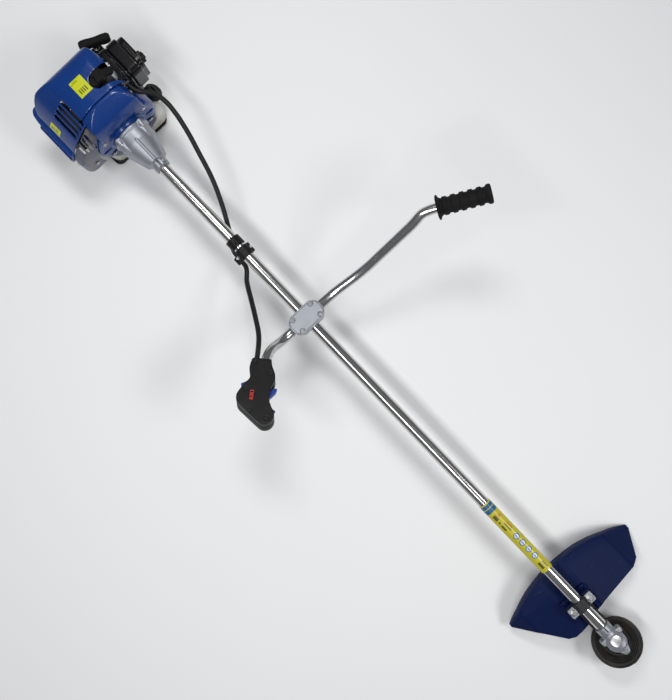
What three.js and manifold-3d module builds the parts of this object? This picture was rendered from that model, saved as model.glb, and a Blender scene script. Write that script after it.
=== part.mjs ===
// Petrol brush cutter: engine, straight shaft, bicycle-style handlebar and line head.
// Millimetres. +X runs from the engine to the cutting end, +Y is the operator's left, +Z is up.
// The origin is on the ground, under the middle of the engine's cylinder.

import * as THREE from 'three';
import { mergeVertices } from 'three/addons/utils/BufferGeometryUtils.js';
import Module from 'manifold-3d';

const wasm = await Module();
wasm.setup();

// ---------------------------------------------------------------- driving dimensions

const gap = 0.3; // between pieces that touch
const roundGap = 0.8; // round a bent tube, whose facets don't line up with its socket's
const axisHeight = 112; // crank and shaft axis above the ground

const flangeX = 88; // face that the clutch case bolts to
const tubeDiameter = 28;
const tubeWall = 1.5;
const tubeLength = 1500;
const tubeSetback = 60; // from the flange to the tube's rear end
const driveDiameter = 8;

const boreDiameter = 40;
const crankRadius = 16;
const finPitch = 7;
const finCount = 8;

const coverThickness = 2.5;
const coverBack = -98; // rear face of the engine covers
const coverSplit = 34; // seam between the cylinder cover and the fan cover
const coverStep = 48; // front edge of the cylinder cover over the muffler
const coverFront = 80;
const fanHousingRadius = 86;
const flywheelRadius = 50;
const drumRadius = 37;

const tankSize = { back: -68, front: 84, right: -70, left: 98, bottom: 6, top: 62 };

const headTilt = 28 * Math.PI / 180; // line head's plane against the shaft
const headDiameter = 116;
const headTop = 41.3; // from the gear centre, along the spindle
const headHeight = 53.7;
const gearDistance = 37; // from the tube's front end to the gear centre
const pinionTeeth = 15;
const gearTeeth = 19;

const barDiameter = 22;
const barWall = 1.5;
const barX = 668; // handlebar clamp's middle
const barRise = 32; // bar axis above the shaft axis
const gripLength = 115;

const hangerX = 431;
const clipX = 461;
const sleeveStart = 1249;
const sleeveLength = 206;
const conduitDiameter = 12;

const guardBracketX = 1567;
const guardHeight = 84; // guard's top plate above the ground
const guardThickness = 3;

// worked out from the driving dimensions
const tubeRadius = tubeDiameter / 2;
const tubeStart = flangeX + tubeSetback;
const tubeEnd = tubeStart + tubeLength;
const spindleX = tubeEnd + gearDistance;
const boreRadius = boreDiameter / 2;
const barRadius = barDiameter / 2;
const barHeight = axisHeight + barRise;
const cylinderBase = axisHeight + 38;
const gearCentre = new THREE.Vector3(spindleX, 0, axisHeight);
const spindleUp = new THREE.Vector3(-Math.sin(headTilt), 0, Math.cos(headTilt));
const spindleDown = spindleUp.clone().negate();

// ---------------------------------------------------------------- materials

function finish(color, roughness, metalness) {
  return new THREE.MeshStandardMaterial({ color, roughness, metalness });
}

const bluePlastic = finish(0x0b4a94, 0.3, 0);
const guardPlastic = finish(0x06285a, 0.45, 0);
const blackPlastic = finish(0x141416, 0.55, 0);
const blackRubber = finish(0x101011, 0.8, 0);
const redPlastic = finish(0xc0202a, 0.4, 0);
const castAluminium = finish(0x9a9fa6, 0.45, 0.9);
const chrome = finish(0xd8dadd, 0.12, 1);
const steel = finish(0x8c8f94, 0.35, 1);
const tankPlastic = finish(0xc9c9c2, 0.5, 0);
const foam = finish(0x2b2b2b, 0.95, 0);
const yellowFilm = finish(0xd8c81e, 0.4, 0);
const darkSteel = finish(0x2a2b2e, 0.5, 0.6);
const insulatorPlastic = finish(0x1d1a18, 0.7, 0);

// ---------------------------------------------------------------- shapes

const X = new THREE.Vector3(1, 0, 0);
const Y = new THREE.Vector3(0, 1, 0);
const Z = new THREE.Vector3(0, 0, 1);

function point(x, y, z) {
  return new THREE.Vector3(x, y, z);
}

// A solid from a three.js geometry; a solid passes through unchanged.
function solid(shape) {
  if (!shape.isBufferGeometry) return shape;
  const bare = shape.clone();
  bare.deleteAttribute('normal');
  bare.deleteAttribute('uv');
  const merged = mergeVertices(bare, 1e-4);
  const vertProperties = new Float32Array(merged.attributes.position.array);
  const triVerts = new Uint32Array(merged.index.array);
  return new wasm.Manifold(new wasm.Mesh({ numProp: 3, vertProperties, triVerts }));
}

function join(...shapes) {
  return shapes.map(solid).reduce((sum, next) => sum.add(next));
}

function cut(base, ...tools) {
  return tools.map(solid).reduce((rest, tool) => rest.subtract(tool), solid(base));
}

function common(...shapes) {
  return shapes.map(solid).reduce((rest, next) => rest.intersect(next));
}

function geometryOf(shape) {
  if (shape.isBufferGeometry) return shape;
  const mesh = shape.getMesh();
  const geometry = new THREE.BufferGeometry();
  geometry.setAttribute('position', new THREE.BufferAttribute(mesh.vertProperties, 3));
  geometry.setIndex(new THREE.BufferAttribute(mesh.triVerts, 1));
  geometry.computeVertexNormals();
  return geometry;
}

// Matrix that puts a shape's local z along `direction` with its origin at `origin`.
function frameAlong(origin, direction, side = null) {
  const along = direction.clone().normalize();
  const reference = side ?? (Math.abs(along.z) < 0.9 ? Z : X);
  const across = reference.clone().addScaledVector(along, -reference.dot(along)).normalize();
  const third = along.clone().cross(across);
  return new THREE.Matrix4().makeBasis(across, third, along).setPosition(origin);
}

function block(x0, x1, y0, y1, z0, z1) {
  const box = new THREE.BoxGeometry(x1 - x0, y1 - y0, z1 - z0);
  return box.translate((x0 + x1) / 2, (y0 + y1) / 2, (z0 + z1) / 2);
}

// A round bar between two points; two radii make it a cone.
function bar(from, to, radius, sides = 12, endRadius = radius) {
  const length = from.distanceTo(to);
  const cylinder = new THREE.CylinderGeometry(endRadius, radius, length, sides);
  cylinder.rotateX(Math.PI / 2).translate(0, 0, length / 2);
  return cylinder.applyMatrix4(frameAlong(from, to.clone().sub(from)));
}

function barAlongX(x0, x1, y, z, radius, sides = 12) {
  return bar(point(x0, y, z), point(x1, y, z), radius, sides);
}

function barAlongY(y0, y1, x, z, radius, sides = 12) {
  return bar(point(x, y0, z), point(x, y1, z), radius, sides);
}

function barAlongZ(z0, z1, x, y, radius, sides = 12) {
  return bar(point(x, y, z0), point(x, y, z1), radius, sides);
}

// A turned piece: `profile` holds [radius, distance along the axis] points.
function turned(profile, origin, direction, sides = 16) {
  const points = profile.map(([radius, along]) => new THREE.Vector2(radius, along));
  const lathe = new THREE.LatheGeometry(points, sides).rotateX(Math.PI / 2);
  return lathe.applyMatrix4(frameAlong(origin, direction));
}

// A ring of constant section, closed on itself.
function ring(inner, outer, from, to, origin, direction, sides = 16) {
  return turned([[inner, from], [outer, from], [outer, to], [inner, to], [inner, from]],
    origin, direction, sides);
}

// A closed outline with its corners rounded; a corner may carry its own radius.
function outline(corners, radius = 0) {
  const shape = new THREE.Shape();
  corners.forEach((corner, index) => {
    const here = new THREE.Vector2(corner[0], corner[1]);
    const before = corners.at(index - 1);
    const after = corners[(index + 1) % corners.length];
    const toBefore = new THREE.Vector2(before[0], before[1]).sub(here);
    const toAfter = new THREE.Vector2(after[0], after[1]).sub(here);
    const wanted = corner[2] ?? radius;
    const reach = Math.min(wanted, toBefore.length() * 0.45, toAfter.length() * 0.45);
    const start = here.clone().addScaledVector(toBefore.normalize(), reach);
    const end = here.clone().addScaledVector(toAfter.normalize(), reach);
    if (index === 0) shape.moveTo(start.x, start.y);
    else shape.lineTo(start.x, start.y);
    if (reach > 0) shape.quadraticCurveTo(here.x, here.y, end.x, end.y);
  });
  shape.closePath();
  return shape;
}

function extruded(shape, depth, edge = 0, curveSegments = 2) {
  const geometry = new THREE.ExtrudeGeometry(shape, {
    depth: depth - 2 * edge,
    bevelEnabled: edge > 0,
    bevelSize: edge,
    bevelOffset: -edge,
    bevelThickness: edge,
    bevelSegments: 1,
    curveSegments,
  });
  return geometry.translate(0, 0, edge);
}

// Outlines extruded along a row axis: (y, z) along X, (x, y) along Z and (x, z) along Y.
function alongX(shape, x0, x1, edge = 0) {
  const basis = new THREE.Matrix4().makeBasis(Y, Z, X).setPosition(x0, 0, 0);
  return extruded(shape, x1 - x0, edge).applyMatrix4(basis);
}

function alongZ(shape, z0, z1, edge = 0) {
  return extruded(shape, z1 - z0, edge).translate(0, 0, z0);
}

function alongY(shape, y0, y1, edge = 0) {
  const basis = new THREE.Matrix4().makeBasis(X, Z, Y.clone().negate()).setPosition(0, y1, 0);
  return extruded(shape, y1 - y0, edge).applyMatrix4(basis);
}

// A path of straight runs joined by bends.
function bentPath(points, bend) {
  const path = new THREE.CurvePath();
  let start = points[0];
  for (let index = 1; index < points.length - 1; index += 1) {
    const corner = points[index];
    const back = points[index - 1].clone().sub(corner);
    const ahead = points[index + 1].clone().sub(corner);
    const reach = Math.min(bend, back.length() * 0.45, ahead.length() * 0.45);
    const bendStart = corner.clone().addScaledVector(back.normalize(), reach);
    const bendEnd = corner.clone().addScaledVector(ahead.normalize(), reach);
    path.add(new THREE.LineCurve3(start, bendStart));
    path.add(new THREE.QuadraticBezierCurve3(bendStart, corner, bendEnd));
    start = bendEnd;
  }
  path.add(new THREE.LineCurve3(start, points.at(-1)));
  return path;
}

function circle(radius, sides) {
  return Array.from({ length: sides }, (_, index) => {
    const angle = 2 * Math.PI * index / sides;
    return new THREE.Vector2(radius * Math.cos(angle), radius * Math.sin(angle));
  });
}

// A tube swept along a path, solid when it has no inner radius.
function swept(path, outer, inner, steps, sides) {
  const section = new THREE.Shape(circle(outer, sides));
  if (inner > 0) section.holes.push(new THREE.Path(circle(inner, sides).reverse()));
  return new THREE.ExtrudeGeometry(section, { steps, bevelEnabled: false, extrudePath: path });
}

// A closed skin through sections along Y, each with its points anticlockwise in x and z.
function lofted(sections) {
  const count = sections[0].length;
  const positions = sections.flat().flatMap((corner) => corner.toArray());
  const last = (sections.length - 1) * count;
  const faces = [];
  for (let row = 0; row < last; row += count) {
    for (let index = 0; index < count; index += 1) {
      const a = row + index;
      const b = row + (index + 1) % count;
      faces.push(a, b + count, b, a, a + count, b + count);
    }
  }
  const flatten = (section) => section.map((corner) => new THREE.Vector2(corner.x, corner.z));
  for (const [a, b, c] of THREE.ShapeUtils.triangulateShape(flatten(sections[0]), [])) {
    faces.push(a, b, c);
  }
  for (const [a, b, c] of THREE.ShapeUtils.triangulateShape(flatten(sections.at(-1)), [])) {
    faces.push(last + a, last + c, last + b);
  }
  const geometry = new THREE.BufferGeometry();
  geometry.setAttribute('position', new THREE.Float32BufferAttribute(positions, 3));
  geometry.setIndex(faces);
  return geometry;
}

// A bevel gear with its pitch cone's tip at the origin and its axis along local z.
function bevelGear(teeth, pitchAngle, outer, inner, startAngle) {
  const depthAngle = 0.042;
  const rootAngle = 0.075;
  const toothShape = [[-0.27, -rootAngle], [-0.13, depthAngle], [0.13, depthAngle], [0.27, -rootAngle]];
  const rim = (distance) => Array.from({ length: teeth }, (_, tooth) => toothShape.map(([share, tilt]) => {
    const turn = startAngle + 2 * Math.PI * (tooth + share) / teeth;
    const cone = pitchAngle + tilt;
    return point(Math.sin(cone) * Math.cos(turn), Math.sin(cone) * Math.sin(turn), Math.cos(cone))
      .multiplyScalar(distance);
  })).flat();
  const count = teeth * toothShape.length;
  const corners = [...rim(inner), ...rim(outer)];
  const innerMiddle = corners.length;
  corners.push(point(0, 0, inner * Math.cos(pitchAngle)));
  corners.push(point(0, 0, outer * Math.cos(pitchAngle)));
  const faces = [];
  for (let index = 0; index < count; index += 1) {
    const next = (index + 1) % count;
    faces.push(index, next, next + count, index, next + count, index + count);
    faces.push(innerMiddle, next, index);
    faces.push(innerMiddle + 1, index + count, next + count);
  }
  const geometry = new THREE.BufferGeometry();
  geometry.setAttribute('position', new THREE.Float32BufferAttribute(corners.flatMap((c) => c.toArray()), 3));
  geometry.setIndex(faces);
  return geometry;
}

const brushCutter = new THREE.Group();

function add(name, shape, material) {
  const mesh = new THREE.Mesh(geometryOf(shape), material);
  mesh.name = name;
  brushCutter.add(mesh);
}

const crankAxis = point(0, 0, axisHeight);

// ---------------------------------------------------------------- engine core

function crankcase() {
  const body = alongX(outline([[-46, 68], [46, 68], [46, cylinderBase], [-46, cylinderBase]], 14), -44, 44, 3);
  const chamber = barAlongX(-22, 22, 0, axisHeight, 33, 20);
  const bearings = barAlongX(-60, 60, 0, axisHeight, 8 + gap);
  const mouth = barAlongZ(axisHeight, cylinderBase + 1, 0, 0, boreRadius + 1, 20);
  return cut(body, chamber, bearings, mouth);
}

const plugTilt = 20 * Math.PI / 180;
const plugDirection = point(0, Math.sin(plugTilt), Math.cos(plugTilt));
const plugSeat = point(0, 10, cylinderBase + 57);

function alongPlug(distance) {
  return plugSeat.clone().addScaledVector(plugDirection, distance);
}

function cylinder() {
  const base = cylinderBase + gap;
  const top = base + 56;
  const barrel = barAlongZ(base, top, 0, 0, boreRadius + 5, 20);
  const foot = block(-30, 30, -30, 30, base, base + 4);
  const fins = Array.from({ length: finCount }, (_, index) => {
    const height = base + 8 + index * finPitch - (index === finCount - 1 ? 1 : 0);
    return block(-46, 46, -40, 40, height, height + 2);
  });
  const intake = block(-15, 15, boreRadius, 48, base + 10, base + 35);
  const exhaust = block(-15, 15, -48, -boreRadius, base + 8, base + 31);
  const bore = barAlongZ(base - 1, base + 48, 0, 0, boreRadius, 20);
  const intakePort = barAlongY(boreRadius - 4, 49, 0, base + 22, 7);
  const exhaustPort = barAlongY(-49, -boreRadius + 4, 0, base + 20, 8);
  const plugHole = bar(alongPlug(-14), alongPlug(2), 5 + gap);
  const plugPocket = bar(alongPlug(0), alongPlug(30), 12);
  return cut(join(barrel, foot, ...fins, intake, exhaust), bore, intakePort, exhaustPort, plugHole, plugPocket);
}

// The crank has one web; its pin stops short of the rod, where the linkage is opened.
const webX = 6;

function crankshaft() {
  const pinHeight = axisHeight + crankRadius;
  return join(
    barAlongX(webX, 44, 0, axisHeight, 8),
    barAlongX(44, flangeX + 30, 0, axisHeight, 6),
    barAlongX(webX, webX + 12, 0, axisHeight, 30, 24),
    barAlongX(webX - 3, webX + 1, 0, pinHeight, 6),
  );
}

function starterShaft() {
  return join(
    barAlongX(-52, -15, 0, axisHeight, 8),
    barAlongX(-60, -50, 0, axisHeight, 15),
  );
}

const pinHeight = axisHeight + crankRadius + 56; // gudgeon pin at top dead centre

function piston() {
  const skirt = barAlongZ(pinHeight - 9, pinHeight + 12, 0, 0, boreRadius - 2 * gap, 20);
  const hollow = barAlongZ(pinHeight - 10, pinHeight + 9, 0, 0, boreRadius - 4, 16);
  const pin = barAlongX(-boreRadius + 2, boreRadius - 2, 0, pinHeight, 4);
  return join(cut(skirt, hollow), pin);
}

function connectingRod() {
  const bigEnd = axisHeight + crankRadius;
  const thickness = [webX - 11, webX - 3 - gap];
  const shank = block(thickness[0], thickness[1], -4, 4, bigEnd + 5, pinHeight - 5);
  const ends = join(
    barAlongX(thickness[0], thickness[1], 0, bigEnd, 10),
    barAlongX(thickness[0], thickness[1], 0, pinHeight, 8),
    shank,
  );
  return cut(ends, barAlongX(-20, 20, 0, bigEnd, 6 + gap), barAlongX(-20, 20, 0, pinHeight, 4 + gap));
}

function flywheel() {
  const blades = Array.from({ length: 12 }, (_, index) => {
    const blade = block(53, 72, -1.5, 1.5, 20, flywheelRadius);
    blade.rotateX(2 * Math.PI * index / 12);
    return blade.translate(0, 0, axisHeight);
  });
  const disc = barAlongX(48, 54, 0, axisHeight, flywheelRadius, 20);
  const hub = barAlongX(46, 76, 0, axisHeight, 22);
  return cut(join(disc, hub, ...blades), barAlongX(40, 90, 0, axisHeight, 6 + gap));
}

// Two shoes on a hub, parted across the middle and joined by their springs' links.
function clutchShoes() {
  const back = flangeX + 9;
  const front = flangeX + 27;
  const through = [back - 1, front + 1];
  const disc = barAlongX(back, front, 0, axisHeight, drumRadius - 4, 20);
  const split = block(...through, -40, 40, axisHeight - 2, axisHeight + 2);
  const hub = barAlongX(back, front, 0, axisHeight, 13);
  const links = join(
    block(back + 6, front - 6, -34, -24, axisHeight - 6, axisHeight + 6),
    block(back + 6, front - 6, 24, 32, axisHeight - 6, axisHeight + 6),
  );
  const shoes = common(join(cut(disc, split), hub, links), disc);
  const springSlots = join(
    block(...through, -25, -19, axisHeight - 4, axisHeight + 40),
    block(...through, 19, 25, axisHeight - 40, axisHeight - 10),
  );
  return cut(shoes, springSlots, barAlongX(...through, 0, axisHeight, 6 + gap));
}

function recoilPulley() {
  return turned([
    [7 + gap, 0], [30, 0], [30, 2], [24, 4], [24, 8], [30, 10], [30, 12], [7 + gap, 12], [7 + gap, 0],
  ], point(-78, 0, axisHeight), X, 20);
}

function recoilSpring() {
  return ring(10, 25, 0, 6, point(-86, 0, axisHeight), X);
}

function ignitionCoil() {
  const low = axisHeight + flywheelRadius + 1.5;
  return join(
    block(52, 64, -26, 26, low + 14, low + 22),
    block(52, 64, -26, -16, low, low + 15),
    block(52, 64, 16, 26, low, low + 15),
    block(50, 66, -10, 10, low + 8, low + 26),
  );
}

function sparkPlug() {
  return turned([
    [0, -8], [5, -8], [5, 0], [9, 0], [9, 7], [7, 8], [5, 12], [5, 22], [3, 23], [3, 30], [0, 30],
  ], plugSeat, plugDirection, 12);
}

function plugBoot() {
  const top = alongPlug(33);
  const leadEnd = point(0, 66, cylinderBase + 72);
  const body = join(
    bar(alongPlug(11), alongPlug(38), 13),
    bar(top, leadEnd, 10, 20, 8),
    bar(alongPlug(30), alongPlug(36), 16),
  );
  return cut(body, bar(alongPlug(10), alongPlug(32), 5 + gap), bar(alongPlug(2), alongPlug(14), 10));
}

add('crankcase', crankcase(), castAluminium);
add('cylinder', cylinder(), castAluminium);
add('crankshaft', crankshaft(), steel);
add('starter_shaft', starterShaft(), steel);
add('connecting_rod', connectingRod(), steel);
add('piston', piston(), castAluminium);
add('flywheel', flywheel(), castAluminium);
add('clutch_shoes', clutchShoes(), darkSteel);
add('recoil_pulley', recoilPulley(), blackPlastic);
add('recoil_spring', recoilSpring(), steel);
add('ignition_coil', ignitionCoil(), blackPlastic);
add('spark_plug', sparkPlug(), steel);
add('plug_boot', plugBoot(), blackRubber);

// ---------------------------------------------------------------- engine covers

const coverTop = 235;
const coverRight = -137;
const coverLeft = 68;

// The cylinder cover's outer form, or its hollow when `wall` is not zero.
function coverForm(wall) {
  const low = wall > 0 ? 60 : 118;
  const seam = coverSplit + (wall > 0 ? 1 : 0);
  const front = coverStep + (wall > 0 ? 1 : 0);
  const ductSide = -58 - gap + (wall > 0 ? 1 : 0);
  const section = alongX(outline([
    [coverLeft - wall, low], [coverLeft - wall, 214 - wall], [50, coverTop - 3 - wall], [-42, coverTop - wall],
    [-106 + wall, 184 - wall], [-124 + wall, 152 - wall], [coverRight + wall, 146 - wall],
    [coverRight + wall, low],
  ], 9), coverBack + wall, front);
  const plan = alongZ(outline([
    [front, coverRight + wall, 0], [-57, coverRight + wall], [-91 + wall, -124 + wall], [coverBack + wall, -40],
    [coverBack + wall, 48], [-88 + wall, coverLeft - wall], [seam, coverLeft - wall, 0], [seam, ductSide, 0],
    [front, ductSide, 0],
  ], 14), low - 1, coverTop + 1);
  const side = alongY(outline([
    [coverBack + wall, low - 1, 0], [coverBack + wall, 190 - wall, 20], [-72 + wall, coverTop - 4 - wall, 16],
    [front, coverTop + 2 - wall, 0], [front, low - 1, 0],
  ]), coverRight - 1, coverLeft + 1);
  return common(section, plan, side);
}

// Four cooling slots on the slope over the muffler, longer towards the crease.
function coolingSlots() {
  const slope = Math.atan2(coverTop - 184, 106 - 42);
  return Array.from({ length: 4 }, (_, index) => {
    const slot = block(-38 + index * 5, 36 - index * 2, -3.5, 3.5, -12, 12);
    slot.rotateX(slope);
    const along = 22 + index * 12;
    return slot.translate(0, -42 - along * Math.cos(slope), coverTop - along * Math.sin(slope));
  });
}

function cylinderCover() {
  const plugOpening = alongZ(outline([[-26, 3], [30, 3], [30, 90], [-26, 90]], 10), 200, 260);
  const carburettorOpening = block(-40, coverSplit + 1, 40, 90, 60, 206);
  const starterOpening = block(coverBack - 5, coverBack + 8, -66, 90, 60, 178);
  const shell = cut(coverForm(0), coverForm(coverThickness));
  return cut(shell, plugOpening, carburettorOpening, starterOpening, ...coolingSlots());
}

function fanForm(wall) {
  const back = coverSplit + gap - (wall > 0 ? 1 : 0);
  const front = coverFront - wall;
  const housing = barAlongX(back, front, 0, axisHeight, fanHousingRadius - wall, 32);
  const duct = alongX(outline([
    [-58 + wall, axisHeight], [62 - wall, axisHeight], [62 - wall, 206 - wall], [46, 228 - wall],
    [-42, 230 - wall], [-58 + wall, 216 - wall],
  ], 10), back, front);
  const side = alongY(outline([
    [back, 0, 0], [back, coverTop + 1 - wall, 0], [50, 226 - wall, 20], [front, 196 - wall, 16], [front, 0, 0],
  ]), -100, 100);
  return common(join(housing, duct), side);
}

function fanCover() {
  const shell = cut(fanForm(0), fanForm(coverThickness));
  const collar = ring(41, 47, coverFront - 3, flangeX - gap, crankAxis, X, 20);
  const mouth = barAlongX(coverFront - 10, flangeX + 1, 0, axisHeight, 41, 20);
  const inlets = Array.from({ length: 12 }, (_, index) => {
    const slot = block(coverFront - 10, coverFront + 5, -4, 4, 54, 74);
    return slot.rotateX(2 * Math.PI * index / 12).translate(0, 0, axisHeight);
  });
  return cut(join(shell, collar), mouth, ...inlets);
}

const eyelet = point(-103, 78, 120);
const pullDirection = point(-0.12, 0.2, 0.97).normalize();

function alongPull(distance) {
  return eyelet.clone().addScaledVector(pullDirection, distance);
}

function starterCover() {
  const back = -96;
  const front = -56;
  const outer = join(
    turned([[0, 0], [40, 0], [62, 10], [64, 16], [64, front - back], [0, front - back]],
      point(back, 0, axisHeight), X, 28),
    block(-90, front, -55, 55, axisHeight - 40, axisHeight + 36),
  );
  const hollow = turned([[0, 3], [38, 3], [59, 12], [61, 18], [61, front - back + 1], [0, front - back + 1]],
    point(back, 0, axisHeight), X, 20);
  const axle = barAlongX(back + 1, -63, 0, axisHeight, 7);
  const slots = Array.from({ length: 8 }, (_, index) => {
    const slot = block(back - 2, back + 30, -3, 3, 32, 54);
    return slot.rotateX(2 * Math.PI * (index + 0.5) / 8).translate(0, 0, axisHeight);
  });
  const lug = join(block(-112, -80, 60, 90, 100, 116), block(-94, -70, 46, 66, 100, 116));
  const guide = bar(alongPull(-30), alongPull(10), 3.2, 12);
  return cut(join(cut(outer, hollow, ...slots), axle, cut(lug, hollow)), guide);
}

// T-shaped handle whose crossbar lies square to the rope.
const crossbarDirection = point(0.34, 0.94, 0);
crossbarDirection.addScaledVector(pullDirection, -crossbarDirection.dot(pullDirection)).normalize();
const handleMiddle = alongPull(24);

function starterHandle() {
  const half = 36.5;
  const start = handleMiddle.clone().addScaledVector(crossbarDirection, -half);
  const crossbar = turned([
    [0, 0], [7, 1], [11, 5], [11.5, 12], [10.5, half], [11.5, 2 * half - 12], [11, 2 * half - 5], [7, 2 * half - 1],
    [0, 2 * half],
  ], start, crossbarDirection, 14);
  const stem = bar(alongPull(4), handleMiddle, 7, 18, 11);
  return cut(join(crossbar, stem), bar(alongPull(0), alongPull(18), 2 + gap, 12));
}

function starterRope() {
  return bar(alongPull(-14), alongPull(17), 2, 8);
}

add('cylinder_cover', cylinderCover(), bluePlastic);
add('fan_cover', fanCover(), bluePlastic);
add('starter_cover', starterCover(), blackPlastic);
add('starter_handle', starterHandle(), blackPlastic);
add('starter_rope', starterRope(), blackRubber);

// ---------------------------------------------------------------- exhaust

function muffler() {
  const body = alongX(outline([[-62, 106], [-62, 186], [-88, 178], [-116, 152], [-116, 106]], 8), -44, 28, 3);
  const inlet = block(-15, 15, -66, -48 - gap, cylinderBase + 8, cylinderBase + 31);
  const port = barAlongY(-70, -40, 0, cylinderBase + 20, 8);
  const outlet = barAlongX(20, 44, -96, 122, 8);
  return cut(join(body, inlet, outlet), port, barAlongX(24, 50, -96, 122, 6));
}

function guardForm(wall) {
  const back = coverStep + gap - (wall > 0 ? 1 : 0);
  const front = coverFront + 4 - wall;
  const low = wall > 0 ? 60 : 84;
  const section = alongX(outline([
    [-60, low], [-60, 212 - wall], [-106 + wall, 172 - wall], [-132 + wall, 136 - wall], [-132 + wall, low],
  ], 8), back, front);
  const plan = alongZ(outline([
    [back, -132 + wall], [front - 8, -132 + wall], [front, -118], [front + 2, -60 - wall], [back, -60 - wall],
  ], 8), low - 1, 240);
  const side = alongY(outline([
    [back, low - 1], [back, 206 - wall], [front, 150 - wall], [front, low - 1],
  ]), -140, -50);
  return common(section, plan, side);
}

function mufflerGuard() {
  const slots = Array.from({ length: 4 }, (_, index) => {
    const across = -76 - index * 10;
    return block(55, 72, across - 2.5, across + 2.5, 130, 230);
  });
  const clear = barAlongX(coverSplit - 5, flangeX + 10, 0, axisHeight, fanHousingRadius + gap, 32);
  return cut(guardForm(0), guardForm(coverThickness), ...slots, clear);
}

add('muffler', muffler(), darkSteel);
add('muffler_guard', mufflerGuard(), steel);

// ---------------------------------------------------------------- intake

const portHeight = cylinderBase + gap + 22;
const cleaner = { back: -57, front: 33.5, bottom: 116, top: 206, base: 81, outer: 132 };

function intakeInsulator() {
  return cut(block(-15, 15, 48 + gap, 57, portHeight - 12, portHeight + 13), barAlongY(40, 60, 0, portHeight, 7));
}

function carburettor() {
  const body = join(
    block(-18, 18, 57 + gap, cleaner.base - gap, portHeight - 16, portHeight + 15),
    block(18, 26, 62, 76, portHeight - 6, portHeight + 8),
    barAlongZ(portHeight - 22, portHeight - 15, 0, 69, 10),
  );
  return cut(body, barAlongY(50, 90, 0, portHeight, 7), barAlongZ(portHeight - 30, portHeight - 14, 0, 69, 7 + gap),
    bar(point(20, 71, portHeight), point(30, 71, portHeight), 2));
}

function primerBulb() {
  return turned([[0, -7], [4, -6.4], [6.5, -3], [7, 0], [7, 2.5], [0, 2.5]],
    point(0, 69, portHeight - 22), Z, 16);
}

const throttlePivot = point(-9, 69, portHeight + 15 + gap);

function carbThrottleLever() {
  const arm = outline([[-5, -5], [20, -3], [22, 0], [20, 3], [-5, 5]], 3);
  return join(
    alongZ(arm, 0, 2).translate(throttlePivot.x, throttlePivot.y, throttlePivot.z),
    barAlongZ(throttlePivot.z, throttlePivot.z + 5, throttlePivot.x, throttlePivot.y, 3, 12),
  );
}

function cleanerOutline(inset) {
  return outline([
    [cleaner.back + inset, cleaner.bottom + inset], [cleaner.front - inset, cleaner.bottom + inset],
    [cleaner.front - inset, cleaner.top - inset], [cleaner.back + inset, cleaner.top - inset],
  ], 16 - inset);
}

function airCleanerBase() {
  const plate = alongY(cleanerOutline(0), cleaner.base, cleaner.base + 8, 1);
  return cut(plate, barAlongY(cleaner.base - 1, cleaner.base + 9, 0, portHeight, 9),
    barAlongY(cleaner.base + 1, cleaner.base + 9, -30, 136, 3));
}

function airFilter() {
  return alongY(cleanerOutline(8), cleaner.base + 9, cleaner.outer - 18, 1);
}

const coverKnob = { x: -3, z: 160 };

function airCleanerCover() {
  const outer = alongY(cleanerOutline(0), cleaner.base + 8 + gap, cleaner.outer, 5);
  const hollow = alongY(cleanerOutline(3), cleaner.base, cleaner.outer - 3, 4);
  return cut(outer, hollow, barAlongY(cleaner.outer - 10, cleaner.outer + 1, coverKnob.x, coverKnob.z, 4));
}

function airCleanerKnob() {
  const lobes = Array.from({ length: 6 }, (_, index) => {
    const turn = 2 * Math.PI * index / 6;
    const x = coverKnob.x + 11 * Math.cos(turn);
    const z = coverKnob.z + 11 * Math.sin(turn);
    return barAlongY(cleaner.outer + gap, cleaner.outer + 9, x, z, 4, 8);
  });
  return join(
    barAlongY(cleaner.outer + gap, cleaner.outer + 10, coverKnob.x, coverKnob.z, 11.5, 18),
    barAlongY(cleaner.outer - 14, cleaner.outer + 1, coverKnob.x, coverKnob.z, 3.5, 12),
    ...lobes,
  );
}

const chokePivot = point(cleaner.front - 12, cleaner.base - gap, 130);

function chokeLever() {
  const arm = outline([[-6, 6], [-6, -8], [-3, -28], [7, -28], [6, 6]], 4);
  const plate = alongY(arm, -3, 0);
  return plate.translate(chokePivot.x, chokePivot.y, chokePivot.z);
}

add('intake_insulator', intakeInsulator(), insulatorPlastic);
add('carburettor', carburettor(), castAluminium);
add('primer_bulb', primerBulb(), blackRubber);
add('carb_throttle_lever', carbThrottleLever(), steel);
add('air_cleaner_base', airCleanerBase(), blackPlastic);
add('air_filter', airFilter(), foam);
add('air_cleaner_cover', airCleanerCover(), blackPlastic);
add('cover_knob', airCleanerKnob(), blackPlastic);
add('choke_lever', chokeLever(), blackPlastic);

// ---------------------------------------------------------------- tank and stand

const filler = point(35, 86, 50);
const fillerDirection = point(0, 0.77, 0.64).normalize();

function alongFiller(distance) {
  return filler.clone().addScaledVector(fillerDirection, distance);
}

function fuelTank() {
  const { back, front, right, left, bottom, top } = tankSize;
  const body = (wall) => alongZ(outline([
    [back + wall, right + wall], [front - wall, right + wall], [front - wall, left - wall], [back + wall, left - wall],
  ], 18), bottom + wall, top - wall, 6);
  const saddle = (clearance) => join(
    barAlongX(coverSplit - clearance, front + 5, 0, axisHeight, fanHousingRadius + clearance, 32),
    barAlongX(back - 5, -56 + clearance, 0, axisHeight, 64 + clearance, 28),
  );
  const neck = bar(alongFiller(-4), alongFiller(24), 15, 16);
  const throat = bar(alongFiller(-6), alongFiller(25), 12, 16);
  const outer = cut(join(body(0), neck), saddle(2));
  return cut(outer, cut(body(3), saddle(5)), throat);
}

function fuelCap() {
  return cut(
    bar(alongFiller(15), alongFiller(34), 21, 24, 19),
    bar(alongFiller(10), alongFiller(24 + gap), 15 + gap, 24),
  );
}

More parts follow.
